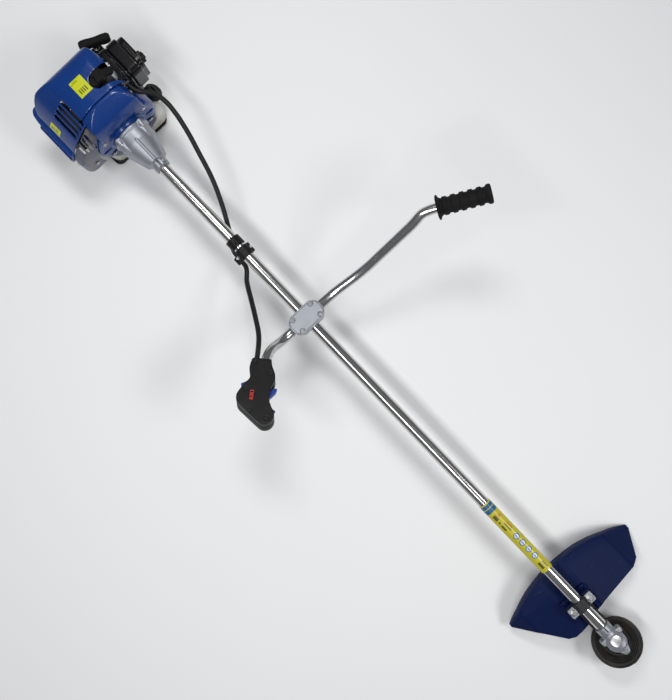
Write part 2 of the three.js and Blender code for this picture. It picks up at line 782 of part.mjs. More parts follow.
function engineStand() {
  const { back, front, right, left, bottom } = tankSize;
  const plan = outline([
    [back - 10, right - 4], [front + 2, right - 4], [front + 2, left - 8], [back - 10, left - 8],
  ], 14);
  const plate = alongZ(plan, 0, bottom - gap);
  const rear = block(back - 8, back - 2, -34, 34, 1, 47);
  const windows = [-1, 1].map((side) => block(back - 9, back - 1, side * 17 - 10, side * 17 + 10, 16, 38));
  return cut(join(plate, rear), ...windows);
}

add('fuel_tank', fuelTank(), tankPlastic);
add('fuel_cap', fuelCap(), blackPlastic);
add('engine_stand', engineStand(), blackPlastic);

// ---------------------------------------------------------------- clutch and shaft

const caseLength = 108;
const flangeRadius = 44;
const collarRadius = 18.5;

function clutchCase() {
  const inner = tubeRadius + gap;
  const shell = turned([
    [drumRadius + 3, 0], [flangeRadius, 0], [flangeRadius, 8], [flangeRadius - 2, 36], [24, 88], [collarRadius, 92],
    [collarRadius, caseLength], [inner, caseLength], [inner, tubeSetback - gap], [12, tubeSetback - gap],
    [12, 48], [drumRadius + 3, 38], [drumRadius + 3, 0],
  ], point(flangeX, 0, axisHeight), X, 20);
  const bolts = [45, 135, 225, 315].map((degrees) => degrees * Math.PI / 180);
  const boltCircle = 46;
  const atBolt = (turn, from, to, radius, sides) => barAlongX(flangeX + from, flangeX + to,
    boltCircle * Math.cos(turn), axisHeight + boltCircle * Math.sin(turn), radius, sides);
  const bosses = bolts.map((turn) => atBolt(turn, 0, 16, 7, 12));
  const holes = bolts.map((turn) => atBolt(turn, -1, 17, 2.8, 8));
  const ribs = [0, 90, 180, 270].map((degrees) => {
    const rib = alongY(outline([[30, 20], [34, 43], [88, 26], [88, 20]]), -2, 2);
    return rib.rotateX(degrees * Math.PI / 180).translate(flangeX, 0, axisHeight);
  });
  const clampEar = block(flangeX + 92, flangeX + caseLength, -9, 9, axisHeight + 16, axisHeight + 28);
  const slit = block(flangeX + 90, flangeX + caseLength + 1, -1, 1, axisHeight, axisHeight + 30);
  const clear = turned([
    [0, -1], [drumRadius + 3, -1], [drumRadius + 3, 38], [12, 48], [12, tubeSetback - gap],
    [inner, tubeSetback - gap], [inner, caseLength + 1], [0, caseLength + 1],
  ], point(flangeX, 0, axisHeight), X, 20);
  return cut(join(shell, ...bosses, ...ribs, clampEar), clear, slit, ...holes);
}

function clutchDrum() {
  return turned([
    [drumRadius - 2.5, 8], [drumRadius, 8], [drumRadius, 34], [11, 37], [11, 54], [driveDiameter / 2 + gap, 54],
    [driveDiameter / 2 + gap, 33], [drumRadius - 2.5, 31], [drumRadius - 2.5, 8],
  ], point(flangeX, 0, axisHeight), X, 20);
}

const shaftAngle = Math.PI / 2 - headTilt;
const pinionAngle = Math.atan2(Math.sin(shaftAngle), gearTeeth / pinionTeeth + Math.cos(shaftAngle));
const gearAngle = shaftAngle - pinionAngle;
const coneOuter = 20;
const coneInner = 13;

function driveShaft() {
  const pinion = bevelGear(pinionTeeth, pinionAngle, coneOuter, coneInner, 0);
  pinion.applyMatrix4(frameAlong(gearCentre, X.clone().negate(), Z));
  const pinionHeel = spindleX - coneOuter * Math.cos(pinionAngle);
  return join(pinion, barAlongX(flangeX + 34, pinionHeel + 1, 0, axisHeight, driveDiameter / 2, 16));
}

function shaftBush() {
  const middle = point(tubeStart + tubeLength / 2, 0, axisHeight);
  return ring(driveDiameter / 2 + gap, tubeRadius - tubeWall - gap, -15, 15, middle, X, 16);
}

function shaftSleeve() {
  const inner = tubeRadius + gap;
  return ring(inner, inner + 0.6, sleeveStart, sleeveStart + sleeveLength, crankAxis, X, 20);
}

add('clutch_case', clutchCase(), castAluminium);
add('clutch_drum', clutchDrum(), steel);
add('shaft_tube', ring(tubeRadius - tubeWall, tubeRadius, tubeStart, tubeEnd, crankAxis, X, 20), chrome);
add('drive_shaft', driveShaft(), steel);
add('shaft_bush', shaftBush(), blackRubber);
add('shaft_sleeve', shaftSleeve(), yellowFilm);

// ---------------------------------------------------------------- harness hanger and cable clip

const eyeHeight = axisHeight + 29;

function harnessHanger() {
  const band = ring(tubeRadius + gap, 17.5, hangerX - 12, hangerX + 12, crankAxis, X);
  const plate = alongY(outline([
    [hangerX - 11, axisHeight + 15], [hangerX + 11, axisHeight + 15],
    [hangerX + 11, eyeHeight + 12], [hangerX - 11, eyeHeight + 12],
  ], 9), -3, 3);
  const eye = barAlongY(-5, 5, hangerX, eyeHeight, 6.5);
  return cut(join(band, plate), eye, barAlongX(hangerX - 20, hangerX + 20, 0, axisHeight, tubeRadius + gap, 16));
}

const conduitAtClip = point(clipX, -18, 86.5);

function cableClip() {
  const from = clipX - 13;
  const to = clipX + 13;
  const band = barAlongX(from, to, 0, axisHeight, 18, 20);
  const ears = alongX(outline([
    [-21.5, axisHeight + 4], [-21.5, axisHeight - 6], [21.5, axisHeight - 6], [21.5, axisHeight + 4],
  ], 3), from, to);
  const loop = barAlongX(from + 4, to - 4, conduitAtClip.y, conduitAtClip.z, conduitDiameter / 2 + 6, 14);
  const link = alongX(outline([
    [-28, axisHeight - 20], [-14, axisHeight - 8], [0, axisHeight - 14], [-10, axisHeight - 28],
  ]), from + 4, to - 4);
  return cut(join(band, ears, loop, link),
    barAlongX(from - 1, to + 1, 0, axisHeight, tubeRadius + gap, 16),
    barAlongX(from - 1, to + 1, conduitAtClip.y, conduitAtClip.z, conduitDiameter / 2 + 1.5, 12));
}

add('harness_hanger', harnessHanger(), blackPlastic);
add('cable_clip', cableClip(), blackPlastic);

// ---------------------------------------------------------------- handlebar

const clampTop = axisHeight + 55;
const screwSpread = { x: 16, y: 27 };

function clampPlan() {
  return outline([
    [barX - 25, -28], [barX - 12, -43], [barX + 12, -43], [barX + 25, -28],
    [barX + 25, 28], [barX + 12, 43], [barX - 12, 43], [barX - 25, 28],
  ], 5);
}

function screwHoles(radius, from, to) {
  return screwPlaces().map(([x, y]) => barAlongZ(from, to, x, y, radius, 12));
}

function screwPlaces() {
  return [[-1, -1], [1, -1], [1, 1], [-1, 1]].map(([along, across]) => [
    barX + along * screwSpread.x, across * screwSpread.y,
  ]);
}

function clampBase() {
  const body = alongZ(clampPlan(), axisHeight - 22, barHeight - gap, 2);
  return cut(body,
    barAlongX(barX - 30, barX + 30, 0, axisHeight, tubeRadius + gap, 16),
    barAlongY(-50, 50, barX, barHeight, barRadius + roundGap),
    ...screwHoles(3.2, axisHeight + 5, barHeight + 1));
}

function clampCap() {
  const body = alongZ(clampPlan(), barHeight + gap, clampTop, 3);
  const barSeat = barAlongY(-50, 50, barX, barHeight, barRadius + roundGap);
  return cut(body, barSeat, ...screwHoles(3.2, barHeight - 1, clampTop + 1));
}

// The right-hand end of the bar carries the throttle handle, the left-hand end a plain grip.
const throttleStart = point(682, -134, 207);
const throttleDirection = point(0.56, -0.655, 0.507).normalize();
const throttleSide = point(0.76, 0.65, 0);
throttleSide.addScaledVector(throttleDirection, -throttleSide.dot(throttleDirection)).normalize();
const throttleUp = throttleDirection.clone().cross(throttleSide);
const gripStart = point(697, 351, 277);
const gripDirection = point(0.495, 0.83, 0.247).normalize();
const barInHandle = 34;

function handlebar() {
  const path = bentPath([
    throttleStart.clone().addScaledVector(throttleDirection, barInHandle),
    throttleStart.clone().addScaledVector(throttleDirection, -32),
    point(barX, -72, barHeight),
    point(barX, 72, barHeight),
    point(681, 163, 172),
    point(686, 300, 255),
    gripStart.clone().addScaledVector(gripDirection, -30),
    gripStart.clone().addScaledVector(gripDirection, gripLength - 8),
  ], 26);
  return swept(path, barRadius, barRadius - barWall, 34, 8);
}

function leftGrip() {
  const bore = barRadius + roundGap;
  const profile = [[bore, 0], [26, 0], [26, 4], [19, 7]];
  const ribs = 5;
  for (let index = 0; index < ribs; index += 1) {
    const along = 12 + index * 18;
    profile.push([18.5, along], [18.5, along + 10], [17, along + 11], [17, along + 17]);
  }
  profile.push([20.5, gripLength - 10], [20, gripLength - 3], [14, gripLength], [0, gripLength], [0, gripLength - 5],
    [bore, gripLength - 5], [bore, 0]);
  return turned(profile, gripStart, gripDirection, 16);
}

add('clamp_base', clampBase(), castAluminium);
add('clamp_cap', clampCap(), castAluminium);
add('handlebar', handlebar(), chrome);
add('left_grip', leftGrip(), blackRubber);

// ---------------------------------------------------------------- throttle handle

// Local frame of the handle: x along the bar, y to its front, z out of the upper half.
const handleFrame = new THREE.Matrix4()
  .makeBasis(throttleDirection, throttleSide, throttleUp).setPosition(throttleStart);
const handleHalf = 19;
const conduitSocket = { along: 14, side: -20 };
const triggerPivot = { along: 86, side: 10 };
const lockoutPivot = { along: 44, side: -13 };
const buttonPlace = { along: 109, side: 26 };
const switchPlace = { along: 86, side: -17 };
const leverHalf = 5;

function inHandle(shape) {
  return solid(shape).transform(handleFrame.elements);
}

function handleOutline() {
  return outline([
    [-4, -14, 3], [-4, -28, 5], [20, -32, 8], [46, -25, 8], [58, -36, 8], [97, -55, 18], [156, 18, 18],
    [129, 41, 16], [110, 28, 5], [88, 18, 6], [66, 20, 6], [38, 29, 12], [8, 15, 6], [-4, 14, 3],
  ], 8);
}

function throttleHousing(low, high) {
  const body = alongZ(handleOutline(), -handleHalf, handleHalf);
  const slab = block(-20, 180, -80, 80, low, high);
  const barSocket = barAlongX(-10, barInHandle + 4, 0, 0, barRadius + roundGap);
  const cableSocket = barAlongX(-10, conduitSocket.along + 1, conduitSocket.side, 0,
    conduitDiameter / 2 + roundGap, 12);
  const leverDepth = leverHalf + gap;
  const triggerPocket = alongZ(outline([[48, 0], [98, 0], [98, 50], [48, 50]], 3), -leverDepth, leverDepth);
  const lockoutPocket = alongZ(outline([[36, -6], [36, -60], [76, -60], [76, -6]], 3), -leverDepth, leverDepth);
  const buttonSocket = bar(point(buttonPlace.along - 9, buttonPlace.side - 13, 0),
    point(buttonPlace.along + 9, buttonPlace.side + 13, 0), 5 + gap, 16);
  const switchSocket = block(switchPlace.along - 9, switchPlace.along + 9,
    switchPlace.side - 3.5, switchPlace.side + 3.5, handleHalf - 5, handleHalf + 5);
  const half = common(body, slab);
  return inHandle(cut(half, barSocket, cableSocket, triggerPocket, lockoutPocket, buttonSocket, switchSocket));
}

function throttleTrigger() {
  const shape = outline([[90, 4], [90, 15], [80, 22], [68, 31], [58, 33], [60, 24], [72, 14], [80, 5]], 3);
  return inHandle(alongZ(shape, -leverHalf, leverHalf, 1));
}

function lockoutLever() {
  const shape = outline([[40, -9], [49, -9], [60, -30], [62, -43], [54, -45], [46, -32], [40, -20]], 3);
  return inHandle(alongZ(shape, -leverHalf, leverHalf, 1));
}

function halfThrottleButton() {
  const inward = point(9, 13, 0).normalize();
  const place = point(buttonPlace.along, buttonPlace.side, 0);
  const reach = (distance) => place.clone().addScaledVector(inward, distance);
  return inHandle(bar(reach(-8), reach(9), 5, 16));
}

function stopSwitch() {
  const { along, side } = switchPlace;
  return inHandle(join(
    block(along - 4, along + 4, side - 3.2, side + 3.2, handleHalf - 4.5, handleHalf + 2),
    block(along - 1.5, along + 1.5, side - 3.2, side + 3.2, handleHalf, handleHalf + 4),
  ));
}

add('throttle_housing_upper', throttleHousing(gap / 2, handleHalf), blackPlastic);
add('throttle_housing_lower', throttleHousing(-handleHalf, -gap / 2), blackPlastic);
add('throttle_trigger', throttleTrigger(), bluePlastic);
add('lockout_lever', lockoutLever(), bluePlastic);
add('half_throttle_button', halfThrottleButton(), bluePlastic);
add('stop_switch', stopSwitch(), redPlastic);

// ---------------------------------------------------------------- throttle cable

// The corrugated conduit leaves the carburettor, runs down the left of the tube, crosses
// under it at the clip and climbs to the throttle handle.
function throttleCable() {
  const entry = point(conduitSocket.along, conduitSocket.side, 0).applyMatrix4(handleFrame);
  const before = point(conduitSocket.along - 22, conduitSocket.side, 0).applyMatrix4(handleFrame);
  const route = new THREE.CatmullRomCurve3([
    point(27, 71, portHeight), point(38, 71, portHeight - 1), point(52, 77, 168), point(64, 90, 160),
    point(78, 101, 150),
    point(100, 106, 140), point(133, 104, 134), point(170, 97, 127), point(228, 81, 115), point(290, 62, 105),
    point(348, 36, 95), point(402, 6, 87), point(clipX - 20, -16.5, 86.5), conduitAtClip,
    point(clipX + 20, -20, 86.5), point(510, -42, 97), point(548, -62, 120), point(587, -82, 146),
    point(625, -104, 173), point(648, -125, 194),
    before, entry,
  ]);
  return swept(route, conduitDiameter / 2, 0, 44, 8);
}

add('throttle_cable', throttleCable(), blackRubber);

// ---------------------------------------------------------------- guard

const boltSpread = 25;

function guardBoltHoles(from, to) {
  return [-1, 1].map((side) => barAlongZ(from, to, guardBracketX, side * boltSpread, 3.3, 12));
}

function guardBracket() {
  const low = guardHeight + gap;
  const foot = alongZ(outline([
    [guardBracketX - 22, -40], [guardBracketX + 46, -40], [guardBracketX + 46, 40], [guardBracketX - 22, 40],
  ], 8), low, low + 6);
  const saddle = block(guardBracketX - 15, guardBracketX + 15, -34, 34, low + 5, axisHeight - gap);
  const rail = block(guardBracketX + 14, guardBracketX + 66, -19, 19, low + 6, axisHeight - 6);
  const tubeSeat = barAlongX(guardBracketX - 40, guardBracketX + 90, 0, axisHeight, tubeRadius + gap, 16);
  return cut(join(foot, saddle, rail), tubeSeat, ...guardBoltHoles(low - 1, axisHeight + 1));
}

function guardClamp() {
  const saddle = alongX(outline([
    [-35, axisHeight + gap], [35, axisHeight + gap], [35, axisHeight + 7], [17, axisHeight + 9],
    [10, axisHeight + 18], [-10, axisHeight + 18], [-17, axisHeight + 9], [-35, axisHeight + 7],
  ], 3), guardBracketX - 13, guardBracketX + 13);
  const tubeSeat = barAlongX(guardBracketX - 20, guardBracketX + 20, 0, axisHeight, tubeRadius + gap, 16);
  return cut(saddle, tubeSeat, ...guardBoltHoles(axisHeight - 1, axisHeight + 20));
}

function guardBolt(side) {
  const head = barAlongZ(axisHeight + 9.2, axisHeight + 16, guardBracketX, side * boltSpread, 6.5, 6);
  const shank = barAlongZ(guardHeight + gap + 7, axisHeight + 10, guardBracketX, side * boltSpread, 3, 12);
  return join(head, shank);
}

// Front edge of the guard, from its right-hand tip to its left-hand tip, as [y, x].
const guardFrontEdge = [
  [-156, 1530], [-114, 1574], [-76, 1624], [-60, 1631], [-14, 1627], [15, 1618], [45, 1614],
  [153, 1615], [172, 1612], [210, 1562],
];
const guardArc = { x: 1768, y: 10, radius: 295 };
const guardFold = { flat: 40, slope: 0.25, right: -118, left: 150, steep: 0.6 };

function guardTop(y) {
  const side = Math.abs(y);
  const gentle = Math.max(0, side - guardFold.flat) * guardFold.slope;
  const folded = Math.max(0, y - guardFold.left, guardFold.right - y) * guardFold.steep;
  return guardHeight - gentle - folded;
}

function guard() {
  const stations = [];
  for (let index = 0; index < guardFrontEdge.length - 1; index += 1) {
    const [y0, x0] = guardFrontEdge[index];
    const [y1, x1] = guardFrontEdge[index + 1];
    const parts = Math.max(1, Math.round((y1 - y0) / 14));
    for (let step = 0; step < parts; step += 1) {
      const share = step / parts;
      stations.push([y0 + (y1 - y0) * share, x0 + (x1 - x0) * share]);
    }
  }
  stations.push(guardFrontEdge.at(-1));
  const sections = stations.map(([y, front]) => {
    const rear = guardArc.x - Math.sqrt(guardArc.radius ** 2 - (y - guardArc.y) ** 2);
    const top = guardTop(y);
    const rim = Math.max(0.6, top * 0.6);
    const t = guardThickness;
    return [
      point(front, y, top), point(rear, y, top), point(rear, y, rim - t * 0.1),
      point(rear + t, y, rim - t * 0.1), point(rear + t, y, top - t), point(front, y, top - t),
    ];
  });
  return lofted(sections);
}

add('guard', guard(), guardPlastic);
add('guard_bracket', guardBracket(), darkSteel);
add('guard_clamp', guardClamp(), steel);
add('guard_bolt_right', guardBolt(-1), steel);
add('guard_bolt_left', guardBolt(1), steel);

// ---------------------------------------------------------------- gearcase and line head

function alongSpindle(distance) {
  return gearCentre.clone().addScaledVector(spindleDown, distance);
}

const neckGrip = 14;

function gearcase() {
  const neck = barAlongX(tubeEnd - neckGrip, spindleX - 4, 0, axisHeight, 18, 20);
  const body = turned([
    [0, -31], [12, -31], [13.5, -29], [13.5, -26], [21, -22], [22, 0], [24, 14], [24, 30], [17, 33], [0, 33],
  ], gearCentre, spindleDown, 18);
  const lugs = [-1, 1].map((side) => barAlongZ(axisHeight - 8, axisHeight + 12, spindleX - 20, side * 22, 7, 16));
  const nose = alongZ(outline([
    [spindleX, -20], [spindleX + 34, -4], [spindleX + 34, 8], [spindleX, 20],
  ], 4), axisHeight - 12, axisHeight + 12);
  const clear = join(
    barAlongX(tubeEnd - 60, tubeEnd + gap, 0, axisHeight, tubeRadius + gap, 16),
    barAlongX(tubeEnd - 1, spindleX - 6, 0, axisHeight, 11.5, 24),
    bar(alongSpindle(-24), alongSpindle(6), 14.5, 24),
    bar(alongSpindle(0), alongSpindle(40), 6 + gap, 20),
  );
  return cut(join(neck, body, ...lugs, nose), clear);
}

function spindleGear() {
  const gear = bevelGear(gearTeeth, gearAngle, coneOuter, coneInner, Math.PI / gearTeeth);
  gear.applyMatrix4(frameAlong(gearCentre, spindleUp, X.clone().negate()));
  const gearBack = coneOuter * Math.cos(gearAngle);
  return join(
    gear,
    bar(alongSpindle(-gearBack - 4), alongSpindle(47), 6, 20),
    bar(alongSpindle(34), alongSpindle(headTop - gap), 20, 24),
  );
}

function spoolCase() {
  const top = headTop;
  const bottom = headTop + headHeight;
  const radius = headDiameter / 2;
  const shell = turned([
    [6 + gap, top], [26, top], [34, top + 3], [radius - 8, top + 7], [radius, top + 16], [radius, bottom - 12],
    [radius - 6, bottom - 3], [radius - 14, bottom], [28 + gap, bottom], [28 + gap, bottom - 4], [radius - 12, bottom - 5],
    [radius - 4, bottom - 14], [radius - 4, top + 18], [radius - 10, top + 10], [22, top + 8], [6 + gap, top + 8],
    [6 + gap, top],
  ], gearCentre, spindleDown, 18);
  const middle = alongSpindle(top + headHeight / 2);
  const forward = point(Math.cos(headTilt), 0, Math.sin(headTilt));
  const across = (distance) => middle.clone().addScaledVector(forward, distance);
  const eyelets = bar(across(-radius - 5), across(radius + 5), 3, 12);
  return cut(shell, eyelets);
}

const bumpTravel = 8;

function bumpKnob() {
  const low = headTop + 10 + bumpTravel + 1;
  const bottom = headTop + headHeight;
  return turned([
    [0, low], [47, low], [47, low + 3], [22, low + 5], [22, low + 17], [47, low + 19], [47, low + 22], [28, low + 23],
    [28, bottom + 6], [22, bottom + 12], [10, bottom + 15], [0, bottom + 15],
  ], gearCentre, spindleDown, 18);
}

add('gearcase', gearcase(), castAluminium);
add('spindle_gear', spindleGear(), steel);
add('spool_case', spoolCase(), blackPlastic);
add('bump_knob', bumpKnob(), blackPlastic);

export default brushCutter;
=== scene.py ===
"""A petrol brush cutter seen from above: its looks, built round the fixed CAD frame."""

from math import atan2, cos, pi, radians, sin, sqrt, tau

import bmesh
import bpy
from mathutils import Matrix, Vector


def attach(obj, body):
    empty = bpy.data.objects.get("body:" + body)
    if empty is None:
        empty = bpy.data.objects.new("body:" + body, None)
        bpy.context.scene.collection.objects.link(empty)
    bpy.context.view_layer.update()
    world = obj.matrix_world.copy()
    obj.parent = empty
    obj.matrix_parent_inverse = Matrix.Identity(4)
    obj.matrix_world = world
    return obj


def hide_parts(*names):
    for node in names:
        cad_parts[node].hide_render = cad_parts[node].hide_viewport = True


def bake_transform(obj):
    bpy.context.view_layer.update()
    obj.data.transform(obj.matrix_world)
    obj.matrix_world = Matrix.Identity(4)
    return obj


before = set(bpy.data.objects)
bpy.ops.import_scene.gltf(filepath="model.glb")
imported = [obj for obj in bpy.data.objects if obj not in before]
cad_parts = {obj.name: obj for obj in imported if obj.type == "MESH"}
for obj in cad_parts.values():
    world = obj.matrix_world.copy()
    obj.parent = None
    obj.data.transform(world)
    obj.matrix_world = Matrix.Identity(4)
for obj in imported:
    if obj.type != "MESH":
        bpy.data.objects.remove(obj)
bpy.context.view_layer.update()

# ------------------------------------------------------------------------------- camera and light
# A camera high above the middle of the machine looks straight down, turned so that the
# shaft crosses the frame. Large soft lamps over a pale floor give the long highlights.

camera_data = bpy.data.cameras.new("camera")
camera_data.lens = 40.7
camera_data.clip_start = 0.05
camera_data.clip_end = 30
camera = bpy.data.objects.new("camera", camera_data)
camera.location = (0.765, -0.003, 1.912)
camera.rotation_euler = (0, 0, radians(46.28))
bpy.context.scene.collection.objects.link(camera)
bpy.context.scene.camera = camera
bpy.context.scene.view_settings.view_transform = "Standard"

world = bpy.data.worlds.new("studio air")
world.use_nodes = True
world.node_tree.nodes["Background"].inputs["Color"].default_value = (0.93, 0.95, 1.0, 1)
world.node_tree.nodes["Background"].inputs["Strength"].default_value = 0.16
bpy.context.scene.world = world

for lamp_name, place, aim, size, power in (
    ("lamp_over_engine", (-0.35, 0.75, 2.3), (0.1, 0, 0.1), (0.9, 0.5), 19),
    ("lamp_over_shaft", (0.8, -0.9, 2.4), (0.8, 0, 0.1), (2.2, 0.35), 26),
    ("lamp_over_head", (2.3, 1.0, 2.2), (1.5, 0, 0.1), (0.9, 0.6), 19),
):
    lamp_data = bpy.data.lights.new(lamp_name, "AREA")
    lamp_data.shape = "RECTANGLE"
    lamp_data.size, lamp_data.size_y = size
    lamp_data.energy = power
    lamp = bpy.data.objects.new(lamp_name, lamp_data)
    lamp.location = place
    lamp.rotation_euler = (Vector(aim) - Vector(place)).to_track_quat("-Z", "Y").to_euler()
    bpy.context.scene.collection.objects.link(lamp)


class Wire:
    """A value inside a material. Arithmetic on it adds Math nodes."""

    def __init__(self, paint, socket):
        self.paint, self.socket = paint, socket

    def math(self, operation, *others):
        return self.paint.node("ShaderNodeMath", (self, *others), operation=operation)

    def __add__(self, other):
        return self.math("ADD", other)

    __radd__ = __add__

    def __sub__(self, other):
        return self.math("SUBTRACT", other)

    def __rsub__(self, other):
        return self.paint.node("ShaderNodeMath", (other, self), operation="SUBTRACT")

    def __mul__(self, other):
        return self.math("MULTIPLY", other)

    __rmul__ = __mul__

    def __truediv__(self, other):
        return self.math("DIVIDE", other)

    def __abs__(self):
        return self.math("ABSOLUTE")

    def rise(self, low, high):
        """0 up to low, 1 from high, and smooth in between."""
        sockets = {"Value": self, "From Min": low, "From Max": high}
        return self.paint.node("ShaderNodeMapRange", sockets, interpolation_type="SMOOTHSTEP")

    def fall(self, low, high):
        return 1 - self.rise(low, high)


class Paint:
    """A material on the Principled shader, put together node by node."""

    def __init__(self, name, **fixed):
        self.material = bpy.data.materials.new(name)
        self.material.use_nodes = True
        self.tree = self.material.node_tree
        self.shader = self.tree.nodes["Principled BSDF"]
        self.fill(self.shader, {key.replace("_", " "): value for key, value in fixed.items()})
        self.place = self.node("ShaderNodeTexCoord", output="Object")

    def fill(self, made, sockets):
        pairs = sockets.items() if isinstance(sockets, dict) else enumerate(sockets)
        for key, value in pairs:
            if isinstance(value, Wire):
                self.tree.links.new(value.socket, made.inputs[key])
            else:
                made.inputs[key].default_value = value

    def node(self, kind, sockets=(), output=0, stops=(), **settings):
        made = self.tree.nodes.new(kind)
        for key, value in settings.items():
            setattr(made, key, value)
        for index, (position, shade) in enumerate(stops):
            if index >= len(made.color_ramp.elements):
                made.color_ramp.elements.new(position)
            made.color_ramp.elements[index].position = position
            made.color_ramp.elements[index].color = shade
        self.fill(made, sockets)
        return Wire(self, made.outputs[output])

    def noise(self, scale, detail=3.0, roughness=0.5, where=None):
        sockets = {"Vector": where or self.place, "Scale": scale, "Detail": detail, "Roughness": roughness}
        return self.node("ShaderNodeTexNoise", sockets)

    def mapped(self, scale=(1, 1, 1), location=(0, 0, 0), rotation=(0, 0, 0)):
        sockets = {"Vector": self.place, "Scale": scale, "Location": location, "Rotation": rotation}
        return self.node("ShaderNodeMapping", sockets)

    def mix(self, share, first, second, blend="MIX"):
        sockets = {0: share, 6: first, 7: second}
        return self.node("ShaderNodeMix", sockets, output=2, data_type="RGBA", blend_type=blend)

    def relief(self, height, distance, strength=1.0):
        sockets = {"Height": height, "Distance": distance, "Strength": strength}
        self.fill(self.shader, {"Normal": self.node("ShaderNodeBump", sockets)})

    def shade(self, **varying):
        self.fill(self.shader, {key.replace("_", " "): value for key, value in varying.items()})
        return self


def seen(red, green, blue):
    """The linear colour of an sRGB shade given from 0 to 255."""
    shades = (red, green, blue)
    return tuple(((v / 255 + 0.055) / 1.055) ** 2.4 if v > 10 else v / 3295 for v in shades) + (1,)


floor_paint = Paint("pale floor", Roughness=0.65)
floor_cloud = floor_paint.noise(2.2, 2)
floor_paint.shade(Base_Color=floor_paint.mix(floor_cloud, seen(246, 247, 248), seen(250, 250, 250)))
floor_mesh = bmesh.new()
bmesh.ops.create_grid(floor_mesh, x_segments=4, y_segments=4, size=12)
bmesh.ops.translate(floor_mesh, verts=floor_mesh.verts, vec=(0.9, 0, -0.0005))
floor_data = bpy.data.meshes.new("floor")
floor_mesh.to_mesh(floor_data)
floor_mesh.free()
floor_data.materials.append(floor_paint.material)
floor = bpy.data.objects.new("floor", floor_data)
bpy.context.scene.collection.objects.link(floor)

# ------------------------------------------------------------------------------- engine block
# The crankcase, finned cylinder, carburettor body and piston are aluminium castings, blasted
# to a fine sandy grey. The turned and stamped pieces beside them are bright or black steel.

cast_aluminium = Paint("blasted cast aluminium", Metallic=0.85)
sand = cast_aluminium.noise(900, 4, 0.6)
cloud = cast_aluminium.noise(28, 3)
oil_film = cast_aluminium.noise(9, 4, 0.6).rise(0.5, 0.72)
casting_grey = cast_aluminium.mix(cloud, seen(150, 154, 162), seen(178, 181, 187))
cast_aluminium.shade(
    Base_Color=cast_aluminium.mix(oil_film * 0.5, casting_grey, seen(120, 122, 126)),
    Roughness=0.36 + sand * 0.16 + cloud * 0.08,
)
cast_aluminium.relief(sand * 0.7 + cast_aluminium.noise(260, 3) * 0.5, 0.0003, 0.55)

bright_steel = Paint("zinc-plated steel", Metallic=1.0)
plating = bright_steel.noise(55, 4)
polish_lines = bright_steel.noise(700, 2, where=bright_steel.mapped(scale=(1, 1, 0.06)))
bright_steel.shade(
    Base_Color=bright_steel.mix(plating, seen(176, 178, 182), seen(214, 215, 214)),
    Roughness=0.22 + plating * 0.12 + polish_lines * 0.1,
)
bright_steel.relief(polish_lines, 0.0001, 0.3)

dark_steel = Paint("black painted steel", Metallic=0.3)
drips = dark_steel.noise(140, 3)
worn = dark_steel.noise(34, 6, 0.7).rise(0.62, 0.7)
dark_steel.shade(
    Base_Color=dark_steel.mix(worn * 0.6, seen(44, 45, 48), seen(118, 116, 112)),
    Roughness=0.42 + drips * 0.2 - worn * 0.1,
    Metallic=0.25 + worn * 0.6,
)
dark_steel.relief(drips, 0.0003, 0.4)

black_plastic = Paint("spark-eroded black nylon", Specular_IOR_Level=0.3)
eroded = black_plastic.noise(1400, 3, 0.6)
handled = black_plastic.noise(22, 4)
black_plastic.shade(
    Base_Color=black_plastic.mix(handled, seen(13, 13, 14), seen(24, 24, 26)),
    Roughness=0.44 + eroded * 0.16 - handled * 0.08,
)
black_plastic.relief(eroded, 0.0002, 0.45)

black_rubber = Paint("matt black rubber", Specular_IOR_Level=0.25)
bloom = black_rubber.noise(30, 4, 0.6)
skin = black_rubber.noise(1800, 2)
black_rubber.shade(
    Base_Color=black_rubber.mix(bloom.rise(0.35, 0.75), seen(12, 12, 12), seen(27, 26, 26)),
    Roughness=0.62 + bloom * 0.25,
)
black_rubber.relief(skin + bloom * 0.4, 0.00015, 0.4)

phenolic = Paint("moulded phenolic", Roughness=0.6)
flock = phenolic.noise(520, 4, 0.7)
phenolic.shade(Base_Color=phenolic.mix(flock, seen(30, 24, 20), seen(62, 50, 40)),
               Roughness=0.45 + flock * 0.3)
phenolic.relief(flock, 0.0002, 0.3)


def refinish(node_name, paint):
    """Gives a CAD node that stays in the model a material of its own."""
    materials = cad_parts[node_name].data.materials
    materials.clear()
    materials.append(paint.material)


for node_name, paint in {
    "crankcase": dark_steel, "cylinder": dark_steel, "piston": cast_aluminium,
    "flywheel": cast_aluminium, "carburettor": cast_aluminium, "crankshaft": bright_steel,
    "starter_shaft": bright_steel, "connecting_rod": bright_steel, "recoil_spring": bright_steel,
    "spark_plug": bright_steel, "carb_throttle_lever": bright_steel, "clutch_drum": bright_steel,
    "drive_shaft": bright_steel, "spindle_gear": bright_steel, "clutch_shoes": dark_steel,
    "muffler": dark_steel, "recoil_pulley": black_plastic, "ignition_coil": black_plastic,
    "intake_insulator": phenolic, "shaft_bush": black_rubber,
}.items():
    refinish(node_name, paint)


# ------------------------------------------------------------------------------- cylinder cover
# A glossy blue ABS moulding over the cylinder and the muffler, with soft edges, four long
# cooling slots on its slope and a stepped ledge at its skirt. This mesh and all that follow are
# drawn in millimetres, and piece() turns them into metres.

def block(x0, x1, y0, y1, z0, z1):
    mesh = bmesh.new()
    bmesh.ops.create_cube(mesh, size=1)
    bmesh.ops.scale(mesh, verts=mesh.verts, vec=(x1 - x0, y1 - y0, z1 - z0))
    bmesh.ops.translate(mesh, verts=mesh.verts, vec=((x0 + x1) / 2, (y0 + y1) / 2, (z0 + z1) / 2))
    return mesh


